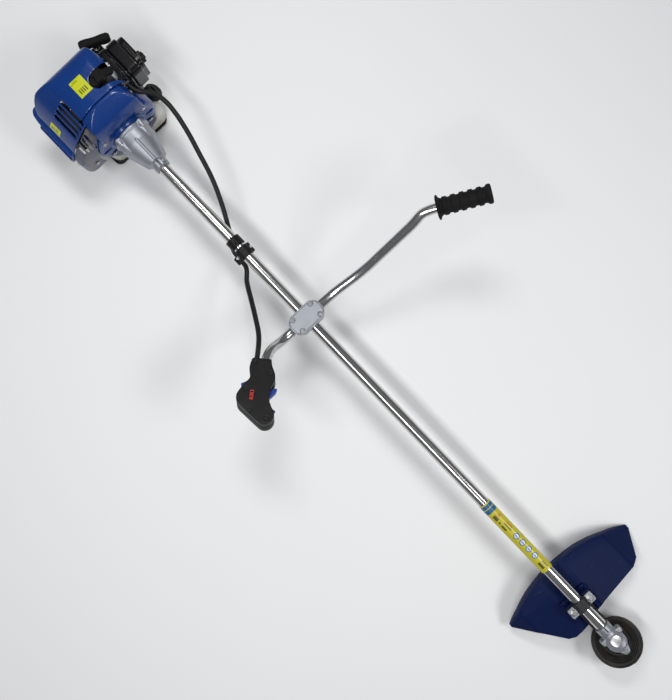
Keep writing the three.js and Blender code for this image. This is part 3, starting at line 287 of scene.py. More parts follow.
def aimed(origin, direction, side=None):
    """The frame at origin whose z runs along direction and whose x lies near side."""
    along = Vector(direction).normalized()
    near = Vector(side) if side else Vector((0, 0, 1) if abs(along.z) < 0.9 else (1, 0, 0))
    across = (near - along * near.dot(along)).normalized()
    turn = Matrix((across, along.cross(across), along)).transposed().to_4x4()
    return Matrix.Translation(Vector(origin)) @ turn


def rod(start, end, radius, end_radius=None, sides=40):
    mesh = bmesh.new()
    start, end = Vector(start), Vector(end)
    length = (end - start).length
    bmesh.ops.create_cone(
        mesh, cap_ends=True, segments=sides, radius1=radius,
        radius2=radius if end_radius is None else end_radius, depth=length,
        matrix=aimed(start, end - start) @ Matrix.Translation((0, 0, length / 2)),
    )
    return mesh


def turned(profile, origin, direction, steps=56):
    """A lathe shape; profile holds (radius, distance along the axis) points, open or closed."""
    mesh = bmesh.new()
    verts = [mesh.verts.new((radius, 0, along)) for radius, along in profile]
    edges = [mesh.edges.new(pair) for pair in zip(verts, verts[1:])]
    bmesh.ops.spin(mesh, geom=verts + edges, axis=(0, 0, 1), cent=(0, 0, 0), angle=tau,
                   steps=steps, use_merge=True)
    bmesh.ops.remove_doubles(mesh, verts=mesh.verts, dist=0.001)
    mesh.transform(aimed(origin, direction))
    bmesh.ops.recalc_face_normals(mesh, faces=mesh.faces)
    return mesh


ALONG_X = Matrix(((0, 0, 1, 0), (1, 0, 0, 0), (0, 1, 0, 0), (0, 0, 0, 1)))
ALONG_Y = Matrix(((1, 0, 0, 0), (0, 0, -1, 0), (0, 1, 0, 0), (0, 0, 0, 1)))
ALONG_Z = Matrix.Identity(4)


def slab(corners, low, high, radius=0, turn=ALONG_Z, segments=6):
    """An outline drawn out from low to high: (x, y) along Z, (y, z) along X, or (x, z) along -Y.
    Its corners are rounded by radius, or each by a third number of its own."""
    mesh = bmesh.new()
    verts = [mesh.verts.new((corner[0], corner[1], low)) for corner in corners]
    mesh.faces.new(verts)
    for vert, corner in zip(verts, corners):
        reach = corner[2] if len(corner) > 2 else radius
        if reach > 0:
            bmesh.ops.bevel(mesh, geom=[vert], offset=reach, offset_type="OFFSET", segments=segments,
                            profile=0.5, affect="VERTICES", material=-1, clamp_overlap=False)
    drawn = bmesh.ops.extrude_face_region(mesh, geom=mesh.faces[:])
    top = [item for item in drawn["geom"] if isinstance(item, bmesh.types.BMVert)]
    bmesh.ops.translate(mesh, verts=top, vec=(0, 0, high - low))
    mesh.transform(turn)
    bmesh.ops.recalc_face_normals(mesh, faces=mesh.faces)
    return mesh


def plate(x0, x1, y0, y1, low, high, radius=0, turn=ALONG_Z, segments=6):
    """A rectangular slab."""
    return slab([(x0, y0), (x1, y0), (x1, y1), (x0, y1)], low, high, radius, turn, segments)


def joined(*meshes):
    """Several meshes as one, each part keeping its own shell."""
    whole = meshes[0]
    for mesh in meshes[1:]:
        carrier = bpy.data.meshes.new("carrier")
        mesh.to_mesh(carrier)
        mesh.free()
        whole.from_mesh(carrier)
        bpy.data.meshes.remove(carrier)
    return whole


def loose(mesh):
    data = bpy.data.meshes.new("loose")
    mesh.to_mesh(data)
    mesh.free()
    thing = bpy.data.objects.new("loose", data)
    bpy.context.scene.collection.objects.link(thing)
    return thing


def settled(thing, *others):
    """The mesh that an object's modifiers make; the object and its helpers are dropped."""
    bpy.context.view_layer.update()
    shaped = thing.evaluated_get(bpy.context.evaluated_depsgraph_get())
    mesh = bmesh.new()
    mesh.from_mesh(shaped.to_mesh())
    shaped.to_mesh_clear()
    for item in (thing, *others):
        data = item.data
        bpy.data.objects.remove(item)
        bpy.data.meshes.remove(data)
    return mesh


def combined(operation, mesh, *tools):
    """mesh with each tool cut away (DIFFERENCE), kept in common (INTERSECT) or added (UNION)."""
    for tool in tools:
        thing, helper = loose(mesh), loose(tool)
        step = thing.modifiers.new("combine", "BOOLEAN")
        step.operation, step.solver, step.object, step.use_self = operation, "EXACT", helper, True
        mesh = settled(thing, helper)
    return mesh


def moulded(mesh, grain=1.5, rounds=6, keep=0.5):
    """Overlapping shells grown into one skin whose edges and inner corners are all rounded."""
    thing = loose(mesh)
    skin = thing.modifiers.new("skin", "REMESH")
    skin.mode, skin.voxel_size, skin.use_smooth_shade = "VOXEL", grain, True
    soft = thing.modifiers.new("soft", "SMOOTH")
    soft.factor, soft.iterations = 0.5, rounds
    thin = thing.modifiers.new("thin", "DECIMATE")
    thin.ratio = keep
    return settled(thing)


def edged(mesh, width, segments=3, angle=30):
    """Bevels every edge sharper than angle."""
    sharp = [e for e in mesh.edges if len(e.link_faces) == 2 and e.calc_face_angle(0) > radians(angle)]
    bmesh.ops.bevel(mesh, geom=sharp, offset=width, offset_type="OFFSET", segments=segments,
                    profile=0.5, affect="EDGES", material=-1, clamp_overlap=True)
    return mesh


def piece(name, mesh, body, paint, stands_for=(), smooth=35):
    """Finishes a mesh as a piece of the machine: metres, shading, material, the CAD parts it stands for
    hidden, and body.
    """
    bmesh.ops.scale(mesh, verts=mesh.verts, vec=(0.001, 0.001, 0.001))
    data = bpy.data.meshes.new(name)
    mesh.to_mesh(data)
    mesh.free()
    data.shade_smooth()
    data.set_sharp_from_angle(angle=radians(smooth))
    thing = bpy.data.objects.new(name, data)
    bpy.context.scene.collection.objects.link(thing)
    data.materials.append(paint.material)
    if stands_for:
        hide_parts(*stands_for)
    if body:
        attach(thing, body)
    return thing


blue_gloss = Paint("glossy blue moulding", Coat_Roughness=0.08, IOR=1.5)
flow = blue_gloss.noise(14, 3)
ripple = blue_gloss.noise(75, 2)
dust = blue_gloss.noise(420, 5, 0.7).rise(0.56, 0.78)
scuff_direction = blue_gloss.mapped(scale=(0.25, 2.4, 1), rotation=(0, 0, 0.6))
scuff_lines = blue_gloss.noise(60, 6, 0.75, where=scuff_direction)
scuffs = scuff_lines.rise(0.66, 0.72)
moulded_blue = blue_gloss.mix(flow, seen(0, 46, 116), seen(0, 58, 134))
dusty_blue = blue_gloss.mix(dust * 0.16, moulded_blue, seen(120, 140, 170))
blue_gloss.shade(
    Base_Color=blue_gloss.mix(scuffs * 0.35, dusty_blue, seen(80, 120, 180)),
    Roughness=0.2 + dust * 0.18 + scuffs * 0.25 + flow * 0.05,
    Coat_Weight=0.3 - scuffs * 0.2,
)
blue_gloss.relief(ripple + blue_gloss.noise(900, 2) * 0.05, 0.0012, 0.12)

cover_top = 235
cover_left = 68
cover_back = -98
cover_seam = 34
cover_step = 48
duct_side = -58.4
wall = 2.5


def cylinder_cover_form(inset, low):
    """The cover's outer form, or its hollow at the inset of one wall."""
    past = 1 if inset else 0
    section = slab([
        (cover_left - inset, low, 0), (cover_left - inset, 212 - inset, 9),
        (48, cover_top - 3 - inset, 14), (-40, cover_top - inset, 30), (-104 + inset, 184 - inset, 26),
        (-125 + inset, 150 - inset, 8), (-125 + inset, low, 0),
    ], cover_back + inset, cover_step + past, turn=ALONG_X)
    plan = slab([
        (cover_step + past, -126 + inset, 0), (-62, -126 + inset, 8), (-86 + inset, -112, 16),
        (cover_back + inset, -34, 30), (cover_back + inset, 30, 14), (-76, 57 - inset, 12),
        (-44, cover_left - inset, 20), (cover_seam + past, cover_left - inset, 0),
        (cover_seam + past, duct_side + past, 0), (cover_step + past, duct_side + past, 0),
    ], low - 1, cover_top + 5)
    side = slab([
        (cover_back + inset, low - 2, 0), (cover_back + inset, 186 - inset, 34),
        (-70 + inset, cover_top - 5 - inset, 30), (-10, cover_top + 0.5 - inset, 60),
        (cover_step + 2, cover_top - 1.5 - inset, 0), (cover_step + 2, low - 2, 0),
    ], -(cover_left + 1), 140, turn=ALONG_Y)
    return combined("INTERSECT", section, plan, side)


def leaning_slot(x0, x1, distance, width=8.5):
    """A slot cutter square to the cover's slope, at a distance down it from the crease."""
    lean = atan2(cover_top - 184, 104 - 40)
    cutter = plate(x0, x1, -width / 2, width / 2, -16, 16, width * 0.45, segments=4)
    bmesh.ops.rotate(cutter, verts=cutter.verts, cent=(0, 0, 0), matrix=Matrix.Rotation(lean, 3, "X"))
    bmesh.ops.translate(cutter, verts=cutter.verts,
                        vec=(0, -40 - distance * cos(lean), cover_top - distance * sin(lean)))
    return cutter


shell = combined(
    "UNION", cylinder_cover_form(0, 119),
    slab([(cover_step, -133, 0), (-60, -133, 5), (-84, -129, 8), (-93, -118, 6), (-88, -90, 0),
          (cover_step, -90, 0)], 134, 148),
    slab([(cover_step, -139, 0), (-56, -139, 5), (-60, -110, 0), (cover_step, -110, 0)], 119.5, 137),
)
shell = combined(
    "DIFFERENCE", shell, cylinder_cover_form(wall, 60),
    slab([(-17, 11, 14), (17, 11, 14), (19, 40, 8), (27, 62, 6), (27, 90, 0), (-25, 90, 0), (-25, 62, 6),
          (-19, 40, 8)], 196, 260),
    block(-41, cover_seam + 2, 42, 95, 60, 206),
    block(cover_back - 6, cover_back + 9, -66, 92, 60, 178),
    *[leaning_slot(-28, 44 - row * 0.5, 28 + row * 13.6) for row in range(4)],
)
shell = moulded(shell, grain=1.3, rounds=4, keep=0.45)
piece("cylinder_cover_moulding", shell, "machine", blue_gloss, ["cylinder_cover"], smooth=50)

# ------------------------------------------------------------------------------- cover labels
# Two yellow printed films, one on the cover's top and one on its slope. Each is a thin sheet
# that follows the moulding under it, printed with plain bars and rules only.

print_edge = 0.15
label_film = Paint("yellow label film", Roughness=0.35, Coat_Weight=0.3)


def printed(paint, centre, angle, marks, ground, ink):
    """Ink marks, as (x, y, width, height) in millimetres from centre, on a coloured ground."""
    turned_place = paint.node("ShaderNodeVectorMath", (paint.place, tuple(v / 1000 for v in centre)),
                              operation="SUBTRACT")
    local = paint.node("ShaderNodeVectorRotate", {"Vector": turned_place, "Angle": -angle},
                       rotation_type="Z_AXIS")
    across = paint.node("ShaderNodeSeparateXYZ", (local,), output=0) * 1000
    along = paint.node("ShaderNodeSeparateXYZ", (local,), output=1) * 1000
    inked = 0
    for x, y, width, height in marks:
        inked_across = abs(across - x).fall(width / 2 - print_edge, width / 2 + print_edge)
        inked_along = abs(along - y).fall(height / 2 - print_edge, height / 2 + print_edge)
        mark = inked_across * inked_along
        inked = mark.math("MAXIMUM", inked)
    rubbed = paint.noise(300, 4, 0.7).rise(0.35, 0.6) * 0.25 + 0.75
    faded = paint.mix(paint.noise(45, 3) * 0.4, ground, tuple(v * 0.8 for v in ground[:3]) + (1,))
    paint.shade(Base_Color=paint.mix(inked * rubbed, faded, ink))


def pressed_label(name, centre, size, skin, paint):
    """A film rectangle laid on a skin from above and given its 0.2 mm thickness."""
    mesh = bmesh.new()
    bmesh.ops.create_grid(mesh, x_segments=28, y_segments=20, size=0.5)
    bmesh.ops.scale(mesh, verts=mesh.verts, vec=(size[0] / 1000, size[1] / 1000, 1))
    bmesh.ops.translate(mesh, verts=mesh.verts, vec=(centre[0] / 1000, centre[1] / 1000, 0.3))
    thing = loose(mesh)
    drop = thing.modifiers.new("drop", "SHRINKWRAP")
    drop.target, drop.wrap_method, drop.offset = skin, "PROJECT", 0.0003
    drop.use_project_z, drop.use_negative_direction, drop.use_positive_direction = True, True, False
    thick = thing.modifiers.new("thick", "SOLIDIFY")
    thick.thickness, thick.offset = 0.00025, 0
    mesh = settled(thing)
    bmesh.ops.scale(mesh, verts=mesh.verts, vec=(1000, 1000, 1000))
    return piece(name, mesh, "machine", paint)


cover_skin = bpy.data.objects["cylinder_cover_moulding"]
printed(label_film, (-13, -8, 0), 0, [
    (9, -8.4, 12, 2.6), (9, -3.2, 12, 2.6), (9, 2, 12, 2.6), (9, 7.2, 12, 2.6), (-14, -6, 1, 18),
    (-17, -4, 1, 12),
], seen(206, 214, 22), seen(22, 26, 14))
pressed_label("top_label", (-13, -8), (42, 32), cover_skin, label_film)

slope_film = Paint("small label film", Roughness=0.35, Coat_Weight=0.3)
printed(slope_film, (-14, -115, 0), 0, [(-6, 0, 10, 2.4), (5, 1.5, 8, 2), (4, -2, 11, 1.2), (-10, -3, 5, 1)],
        seen(206, 214, 22), seen(40, 44, 18))
pressed_label("slope_label", (-14, -114), (31, 11), cover_skin, slope_film)


# ------------------------------------------------------------------------------- fan cover
# The second blue moulding closes the fan in front of the cylinder: a drum with a ring of air
# inlets and a tall duct above it. The clutch case bolts to the collar on its front, and six
# domed screws hold it and the cylinder cover.

shaft_height = 112
cover_front = 80
drum_radius = 86


def on_shaft(profile, x=0, steps=96):
    """A lathe shape round the shaft's line; profile holds (radius, distance past x) points."""
    return turned(profile, (x, 0, shaft_height), (1, 0, 0), steps)


def shaft_rod(x0, x1, radius, sides=72):
    """A round rod along the shaft's line, mostly to bore other pieces with."""
    return rod((x0, 0, shaft_height), (x1, 0, shaft_height), radius, sides=sides)


def fan_cover_form(inset, back):
    front = cover_front - inset
    drum = on_shaft([
        (0, back), (drum_radius - inset, back), (drum_radius - inset, front - 12),
        (drum_radius - 1.5 - inset, front - 6), (drum_radius - 6 - inset, front - 1.5),
        (drum_radius - 13 - inset, front), (0, front),
    ])
    duct = slab([(-60 + inset, 100, 0), (63 - inset, 100, 0), (63 - inset, 204 - inset, 20),
                 (45, 229 - inset, 18), (-40, 232 - inset, 30), (-60 + inset, 212 - inset, 18)], back,
                 front, turn=ALONG_X)
    side = slab([(back, 10, 0), (back, 234 - inset, 0), (48, 230 - inset, 30), (front, 198 - inset, 24),
                 (front, 10, 0)],
                -100, 100, turn=ALONG_Y)
    return combined("INTERSECT", combined("UNION", drum, duct), side)


def around_x(mesh, turn, centre=(0, 0, shaft_height)):
    bmesh.ops.rotate(mesh, verts=mesh.verts, cent=centre, matrix=Matrix.Rotation(turn, 3, "X"))
    return mesh


inlets = [around_x(slab([(-4, 166), (4, 166), (5, 187), (-5, 187)], cover_front - 12, cover_front + 5, 3,
                        ALONG_X),
                   tau * spoke / 12) for spoke in range(3, 10)]
fan_shell = combined("UNION", fan_cover_form(0, cover_seam + 0.3),
                     fan_cover_form(wall + 0.2, cover_seam - 6))
fan_shell = combined("DIFFERENCE", fan_shell, fan_cover_form(2 * wall, cover_seam - 8),
                 shaft_rod(60, 92, 41, 64), *inlets)
fan_shell = joined(fan_shell, on_shaft([(41, 76), (47.5, 76), (47.5, 86.5), (46.5, 87.6), (41, 87.6),
                                        (41, 76)], 0, 72))
fan_shell = moulded(fan_shell, grain=1.3, rounds=5, keep=0.4)
piece("fan_cover_moulding", fan_shell, "machine", blue_gloss, ["fan_cover"], smooth=50)


def pan_screw(place, direction, radius=4.6, recess="cross"):
    """A domed screw head with a washer face and a driver recess, standing on its place."""
    head = turned([(0, 0), (radius * 1.25, 0), (radius * 1.25, 0.9), (radius, 1), (radius, 2),
                   (radius * 0.8, 3.1), (radius * 0.4, 3.6), (0, 3.7)], (0, 0, 0), (0, 0, 1), 28)
    if recess == "cross":
        cutters = [block(-radius * 0.62, radius * 0.62, -0.6, 0.6, 1.8, 5),
                   block(-0.6, 0.6, -radius * 0.62, radius * 0.62, 1.8, 5)]
    else:
        cutters = [rod((0, 0, 1.4), (0, 0, 5), radius * 0.5, sides=6)]
    head = combined("DIFFERENCE", head, *cutters)
    head.transform(aimed(place, direction))
    return head


screw_circle = 70
screws = [pan_screw((cover_front - 0.4, screw_circle * sin(turn), shaft_height + screw_circle * cos(turn)),
                    (1, 0, 0))
          for turn in (radians(a) for a in (56, 124, 236, 304))]
screws += [pan_screw((-18, cover_left - 0.6, 200), (0, 1, 0)), pan_screw((44, 62.6, 176), (0, 1, 0))]
piece("cover_screws", joined(*screws), "machine", bright_steel, smooth=30)


# ------------------------------------------------------------------------------- recoil starter
# A black dished cover over the rope pulley at the machine's rear, with a ring of vents and a
# guide lug, and a rubber-skinned T-handle on a braided rope that comes up through the lug.

starter_back = -96
starter_front = -56
dish = on_shaft([(0, 0), (38, 0), (44, 1.2), (58, 7), (62.5, 11), (64, 16), (64, 34), (66, 35), (66, 40),
                 (0, 40)], starter_back)
frame_plate = plate(-55, 55, 72, 148, -90, starter_front, 12, ALONG_X)
hollow = on_shaft([(0, 2.6), (36, 2.6), (56, 10), (61, 17), (61, 44), (0, 44)], starter_back, 64)
vents = [around_x(slab([(-3.4, 145), (3.4, 145), (4.6, 165), (-4.6, 165)], starter_back - 3,
                       starter_back + 26, 3, ALONG_X),
                  tau * (spoke + 0.5) / 12) for spoke in range(12)]
lug = joined(block(-112, -86, 62, 90, 101, 116), block(-94, -72, 46, 68, 101, 116),
             rod((-103, 78, 101), (-103, 78, 119), 10))
eyelet = Vector((-103, 78, 120))
pull = Vector((-0.12, 0.2, 0.97)).normalized()
starter = combined("DIFFERENCE", combined("UNION", dish, frame_plate), hollow, *vents)
starter = joined(starter, combined("DIFFERENCE", lug, rod(eyelet - pull * 40, eyelet + pull * 9, 3.2)),
                 on_shaft([(0, -1.4), (15, -1.4), (16, 0.6), (16, 2), (0, 2)], starter_back, 48))
starter = moulded(starter, grain=1.3, rounds=4, keep=0.4)
piece("starter_cover_moulding", starter, "machine", black_plastic, ["starter_cover"],
      smooth=50)
piece("rope_ferrule", turned([(2.9, -6), (5.5, -6), (5.5, -1), (7, 0), (7, 1.4), (5.2, 2.6), (3.4, 2.2),
                              (2.9, 1), (2.9, -6)],
                             eyelet, pull, 40), "machine", bright_steel)

crossbar = Vector((0.34, 0.94, 0))
crossbar = (crossbar - pull * crossbar.dot(pull)).normalized()
handle_middle = eyelet + pull * 24
t_profile = [(0, -36.5), (7, -36), (10, -33.5), (11.3, -29), (11.6, -22), (10.9, -10), (10.6, 0),
             (10.9, 10), (11.6, 22), (11.3, 29), (10, 33.5), (7, 36), (0, 36.5)]
t_handle = joined(turned(t_profile, handle_middle, crossbar, 40),
                  rod(eyelet + pull * 4, handle_middle, 6.6, 10.5))
t_handle = moulded(t_handle, grain=1.1, rounds=6, keep=0.6)
ridges = joined(*[turned([(10.2, along - 0.9), (11.9, along - 0.5), (11.9, along + 0.5), (10.2, along + 0.9)],
                         handle_middle, crossbar, 40) for along in (-28, -24, -20, -16, 16, 20, 24, 28)])
piece("starter_grip", joined(t_handle, ridges), "pull_handle", black_rubber,
      ["starter_handle"], smooth=60)

braid = Paint("braided cord", Roughness=0.85)
strands = braid.node("ShaderNodeTexWave", {"Vector": braid.mapped(rotation=(0.6, 0.5, 0)), "Scale": 420,
                                           "Distortion": 1.5},
                     wave_type="BANDS")
counter = braid.node("ShaderNodeTexWave", {"Vector": braid.mapped(rotation=(-0.6, -0.5, 0.4)),
                                           "Scale": 420, "Distortion": 1.5},
                     wave_type="BANDS")
weave = strands.math("MULTIPLY", counter)
braid.shade(Base_Color=braid.mix(weave, seen(22, 22, 24), seen(74, 74, 78)), Roughness=0.75 + weave * 0.15)
braid.relief(weave, 0.0004, 0.6)

cord_mesh = bmesh.new()
rope_start = eyelet - pull * 14
rope_lengths = [0, 4, 8, 12, 14, 17, 20, 24, 28, 31]
bmesh.ops.create_circle(cord_mesh, segments=20, radius=2, matrix=aimed(rope_start, pull))
bmesh.ops.contextual_create(cord_mesh, geom=cord_mesh.edges[:])
lead_ring = cord_mesh.edges[:]
for before, after in zip(rope_lengths, rope_lengths[1:]):
    extended = bmesh.ops.extrude_edge_only(cord_mesh, edges=lead_ring)
    lead_ring = [item for item in extended["geom"] if isinstance(item, bmesh.types.BMEdge)
                 and all(v in extended["geom"] for v in item.verts)]
    moved = {v for edge in lead_ring for v in edge.verts}
    bmesh.ops.translate(cord_mesh, verts=list(moved), vec=pull * (after - before))
bmesh.ops.contextual_create(cord_mesh, geom=lead_ring)
bmesh.ops.recalc_face_normals(cord_mesh, faces=cord_mesh.faces)
cord = piece("starter_cord", cord_mesh, None, braid, ["starter_rope"])
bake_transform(cord)

# ------------------------------------------------------------------------------- muffler guard
# A pressed zinc-grey shield over the front of the muffler, with four short cooling slots and
# a rolled rim, screwed to the cover's skirt. A tailpipe shows beneath it.

shield_metal = Paint("zinc-grey pressed guard", Metallic=0.75)
heat = shield_metal.noise(24, 4, 0.6)
roll_lines = shield_metal.noise(380, 3, where=shield_metal.mapped(scale=(1, 0.08, 1)))
shield_metal.shade(
    Base_Color=shield_metal.mix(heat.rise(0.3, 0.75), seen(104, 112, 130), seen(136, 132, 130)),
    Roughness=0.34 + heat * 0.2 + roll_lines * 0.08,
)
shield_metal.relief(roll_lines + heat * 2, 0.0004, 0.25)


def shield_form(inset):
    back = cover_step + (-1 if inset else 0.3)
    front = cover_front + 4 - inset
    low = 60 if inset else 84
    section = slab([(-60, low, 0), (-60, 212 - inset, 6), (-106 + inset, 172 - inset, 18),
                    (-132 + inset, 136 - inset, 12), (-132 + inset, low, 0)], back, front, turn=ALONG_X)
    plan = slab([(back, -132 + inset, 0), (front - 8, -132 + inset, 12), (front, -116, 14),
                 (front + 2, -60 - inset, 0), (back, -60 - inset, 0)], low - 1, 240)
    side = slab([(back, low - 1, 0), (back, 207 - inset, 0), (front - 4, 156 - inset, 14),
                 (front, low - 1, 0)], 50, 140,
                turn=ALONG_Y)
    return combined("INTERSECT", section, plan, side)


shield_slots = []
for row in range(4):
    across = -76 - row * 9
    cutter = plate(-13, 12, -2.3, 2.3, -26, 26, 2, segments=3)
    bmesh.ops.translate(cutter, verts=cutter.verts, vec=(64 - row * 1.5, across, 178 - row * 7))
    shield_slots.append(cutter)
shield = combined("DIFFERENCE", shield_form(0), shield_form(1.8),
                  shaft_rod(cover_seam - 5, 98, 87.5, 96), *shield_slots)
shield = moulded(shield, grain=1.1, rounds=3, keep=0.4)
piece("muffler_guard_pressing", shield, "machine", shield_metal, ["muffler_guard"],
      smooth=50)
piece("muffler_guard_screws", joined(pan_screw((56, -131.6, 112), (0, -1, 0), 4),
                                     pan_screw((83.6, -100, 112), (1, 0, 0), 4)), "machine", bright_steel)

# ------------------------------------------------------------------------------- spark plug boot
# A thick rubber elbow pushed over the plug, with finger lobes round its cap and a short lead
# that dives under the cover to the coil.

plug_seat = Vector((0, 10, 207))
plug_axis = Vector((0, sin(radians(20)), cos(radians(20))))
cap_middle = Vector((-2, 36, 236))
lead_end = Vector((0, 64, 222))
lobes = []
for turn in (radians(a) for a in (20, 92, 164, 236, 308)):
    out = Matrix.Rotation(turn, 3, plug_axis) @ Vector((1, 0, 0))
    lobes.append(rod(cap_middle + out * 11.5 - plug_axis * 4, cap_middle + out * 11.5 + plug_axis * 4, 6.8,
                     5.6, 24))
boot = joined(rod(plug_seat + plug_axis * 12, plug_seat + plug_axis * 33, 12.8, 10.5), *lobes,
              rod(cap_middle - plug_axis * 8, cap_middle + plug_axis * 6, 14.5, 12.5),
              rod(cap_middle, lead_end, 9.6, 7.4), rod(lead_end - Vector((0, 9, -2)),
                                                       lead_end - Vector((0, 6, -1.4)), 9.6),
              rod(lead_end - Vector((0, 4, -1)), lead_end - Vector((0, 1, -0.3)), 9))
boot = moulded(boot, grain=1.0, rounds=5, keep=0.5)
boot = combined("DIFFERENCE", boot, rod(plug_seat + plug_axis * 8, plug_seat + plug_axis * 32, 5.4))
piece("plug_boot_elbow", boot, "machine", black_rubber, ["plug_boot"], smooth=60)


def flowing(points, step=4.0):
    """Points every few millimetres along a smooth curve through the given points."""
    points = [Vector(p) for p in points]
    chords = [max((b - a).length, 1e-6) for a, b in zip(points, points[1:])]
    slopes = [(points[1] - points[0]) / chords[0]]
    for index in range(1, len(points) - 1):
        before, after = chords[index - 1], chords[index]
        slopes.append(((points[index] - points[index - 1]) / before * after
                       + (points[index + 1] - points[index]) / after * before) / (before + after))
    slopes.append((points[-1] - points[-2]) / chords[-1])
    path = [points[0]]
    for index, chord in enumerate(chords):
        here, there = points[index], points[index + 1]
        parts = max(2, round(chord / step))
        for part in range(1, parts + 1):
            t = part / parts
            path.append(here * (2 * t**3 - 3 * t**2 + 1) + slopes[index] * chord * (t**3 - 2 * t**2 + t)
                        + there * (3 * t**2 - 2 * t**3) + slopes[index + 1] * chord * (t**3 - t**2))
    return path


def hose(path, radii, sides=20):
    """A closed round tube along a path; radii is one radius or one for each point."""
    if not hasattr(radii, "__len__"):
        radii = [radii] * len(path)
    mesh = bmesh.new()
    side = Vector((0, 0, 1)) if abs((path[1] - path[0]).normalized().z) < 0.9 else Vector((1, 0, 0))
    rings = []
    for index, (middle, radius) in enumerate(zip(path, radii)):
        along = (path[min(index + 1, len(path) - 1)] - path[max(index - 1, 0)]).normalized()
        side = (side - along * side.dot(along)).normalized()
        made = bmesh.ops.create_circle(mesh, segments=sides, radius=radius,
                                       matrix=aimed(middle, along, side))
        rings.append(made["verts"])
    for before, after in zip(rings, rings[1:]):
        edges = [edge for ring in (before, after) for vert in ring for edge in vert.link_edges
                 if edge.other_vert(vert) in ring]
        bmesh.ops.bridge_loops(mesh, edges=list(dict.fromkeys(edges)))
    for ring in (rings[0], rings[-1]):
        mesh.faces.new(ring)
    bmesh.ops.recalc_face_normals(mesh, faces=mesh.faces)
    return mesh


ignition_path = flowing([lead_end - Vector((0, 6, -1)), (0, 67, 221), (5, 71.5, 213), (14, 68, 205),
                         (24, 58, 200), (31, 46, 197)], 3)
piece("ignition_lead", hose(ignition_path, 3.5), "machine", black_rubber, smooth=60)

# ------------------------------------------------------------------------------- intake
# The carburettor bolts to the cylinder through a phenolic spacer. A glossy black air cleaner
# hangs on it: a base plate, a foam block and a cover held by one lobed knob.

gloss_black = Paint("glossy black moulding", Coat_Roughness=0.1, Specular_IOR_Level=0.25)
sink = gloss_black.noise(16, 3)
fingerprints = gloss_black.noise(150, 4, 0.6).rise(0.5, 0.8)
gloss_black.shade(
    Base_Color=gloss_black.mix(sink, seen(7, 7, 9), seen(15, 15, 18)),
    Roughness=0.2 + fingerprints * 0.08 + sink * 0.06,
    Coat_Weight=0.25 - fingerprints * 0.1,
)
gloss_black.relief(gloss_black.noise(60, 2), 0.001, 0.12)

cleaner_back, cleaner_front, cleaner_low, cleaner_top = -57, 33.5, 116, 206
cleaner_base = 81
knob_x, knob_z = -3, 160


def cleaner_slab(y0, y1, inset=0.0, radius=16):
    return plate(cleaner_back + inset, cleaner_front - inset, cleaner_low + inset, cleaner_top - inset,
                 -y1, -y0, radius, ALONG_Y)


base_plate = moulded(joined(cleaner_slab(cleaner_base, 86), cleaner_slab(cleaner_base + 2, 89, 2.5, 14)),
                     1.3, 2, 0.35)
hood = combined("DIFFERENCE", plate(-56, 24, 140, 206, -80.6, -69.2, 12, ALONG_Y),
                plate(-53, 21, 130, 203, -82, -68, 9, ALONG_Y))
piece("intake_hood", moulded(hood, 0.9, 3, 0.45), "machine", gloss_black, smooth=50)
piece("air_cleaner_plate", base_plate, "machine", gloss_black, ["air_cleaner_base"],
      smooth=50)
dome = combined("UNION", cleaner_slab(89.3, 116, 0), cleaner_slab(112, 127, 5, 18), slab([
    (cleaner_back + 3, cleaner_low + 8), (cleaner_front - 28, cleaner_low + 8),
    (cleaner_front - 24, cleaner_top - 6), (cleaner_back + 3, cleaner_top - 6)], -131, -110, 18, ALONG_Y))
dome = combined("DIFFERENCE", dome, cleaner_slab(80, 112, 4, 14),
                rod((knob_x, 100, knob_z), (knob_x, 140, knob_z), 4.2),
                rod((knob_x, 126, knob_z), (knob_x, 140, knob_z), 17.5, sides=56))
dome = moulded(dome, grain=1.4, rounds=9, keep=0.4)
piece("air_cleaner_cover_moulding", dome, "machine", gloss_black, ["air_cleaner_cover"],
      smooth=40)

foam = Paint("open-cell foam", Roughness=0.95)
cells = foam.node("ShaderNodeTexVoronoi", {"Vector": foam.place, "Scale": 700}, output="Distance")
foam.shade(Base_Color=foam.mix(cells, seen(20, 20, 20), seen(70, 70, 68)))
foam.relief(cells, 0.0008, 0.8)
refinish("air_filter", foam)

knob_lobes = []
for lobe in range(6):
    lobe_x, lobe_z = knob_x + 11.2 * cos(tau * lobe / 6), knob_z + 11.2 * sin(tau * lobe / 6)
    knob_lobes.append(rod((lobe_x, 129, lobe_z), (lobe_x, 137.6, lobe_z), 4.4, 3.8, 20))
knob = joined(rod((knob_x, 127.4, knob_z), (knob_x, 136, knob_z), 11.6), *knob_lobes,
              rod((knob_x, 133, knob_z), (knob_x, 141.4, knob_z), 9.5, 8.5))
knob = moulded(knob, 0.8, 4, 0.5)
knob = joined(knob, rod((knob_x, 118, knob_z), (knob_x, 128, knob_z), 3.5))
knob = combined("DIFFERENCE", knob, plate(-9, 3, 159.2, 160.8, -145, -140.2, turn=ALONG_Y))
piece("cleaner_cover_knob", knob, "cleaner_knob", black_plastic, ["cover_knob"], smooth=50)

choke_pivot = Vector((21.5, 80.7, 130))
choke = joined(slab([(-6, 6), (-6, -8), (-3, -28), (7, -28), (6, 6)], 0.2, 3, 4, ALONG_Y),
               rod((0, -3, 0), (0, -6, 0), 5.5),
               plate(-4, 8, -20, -28, 0.2, 6.5, 3, ALONG_Y))
bmesh.ops.translate(choke, verts=choke.verts, vec=choke_pivot)
choke = moulded(choke, 0.7, 3, 0.5)
piece("choke_tab", choke, "choke", black_plastic, ["choke_lever"], smooth=50)

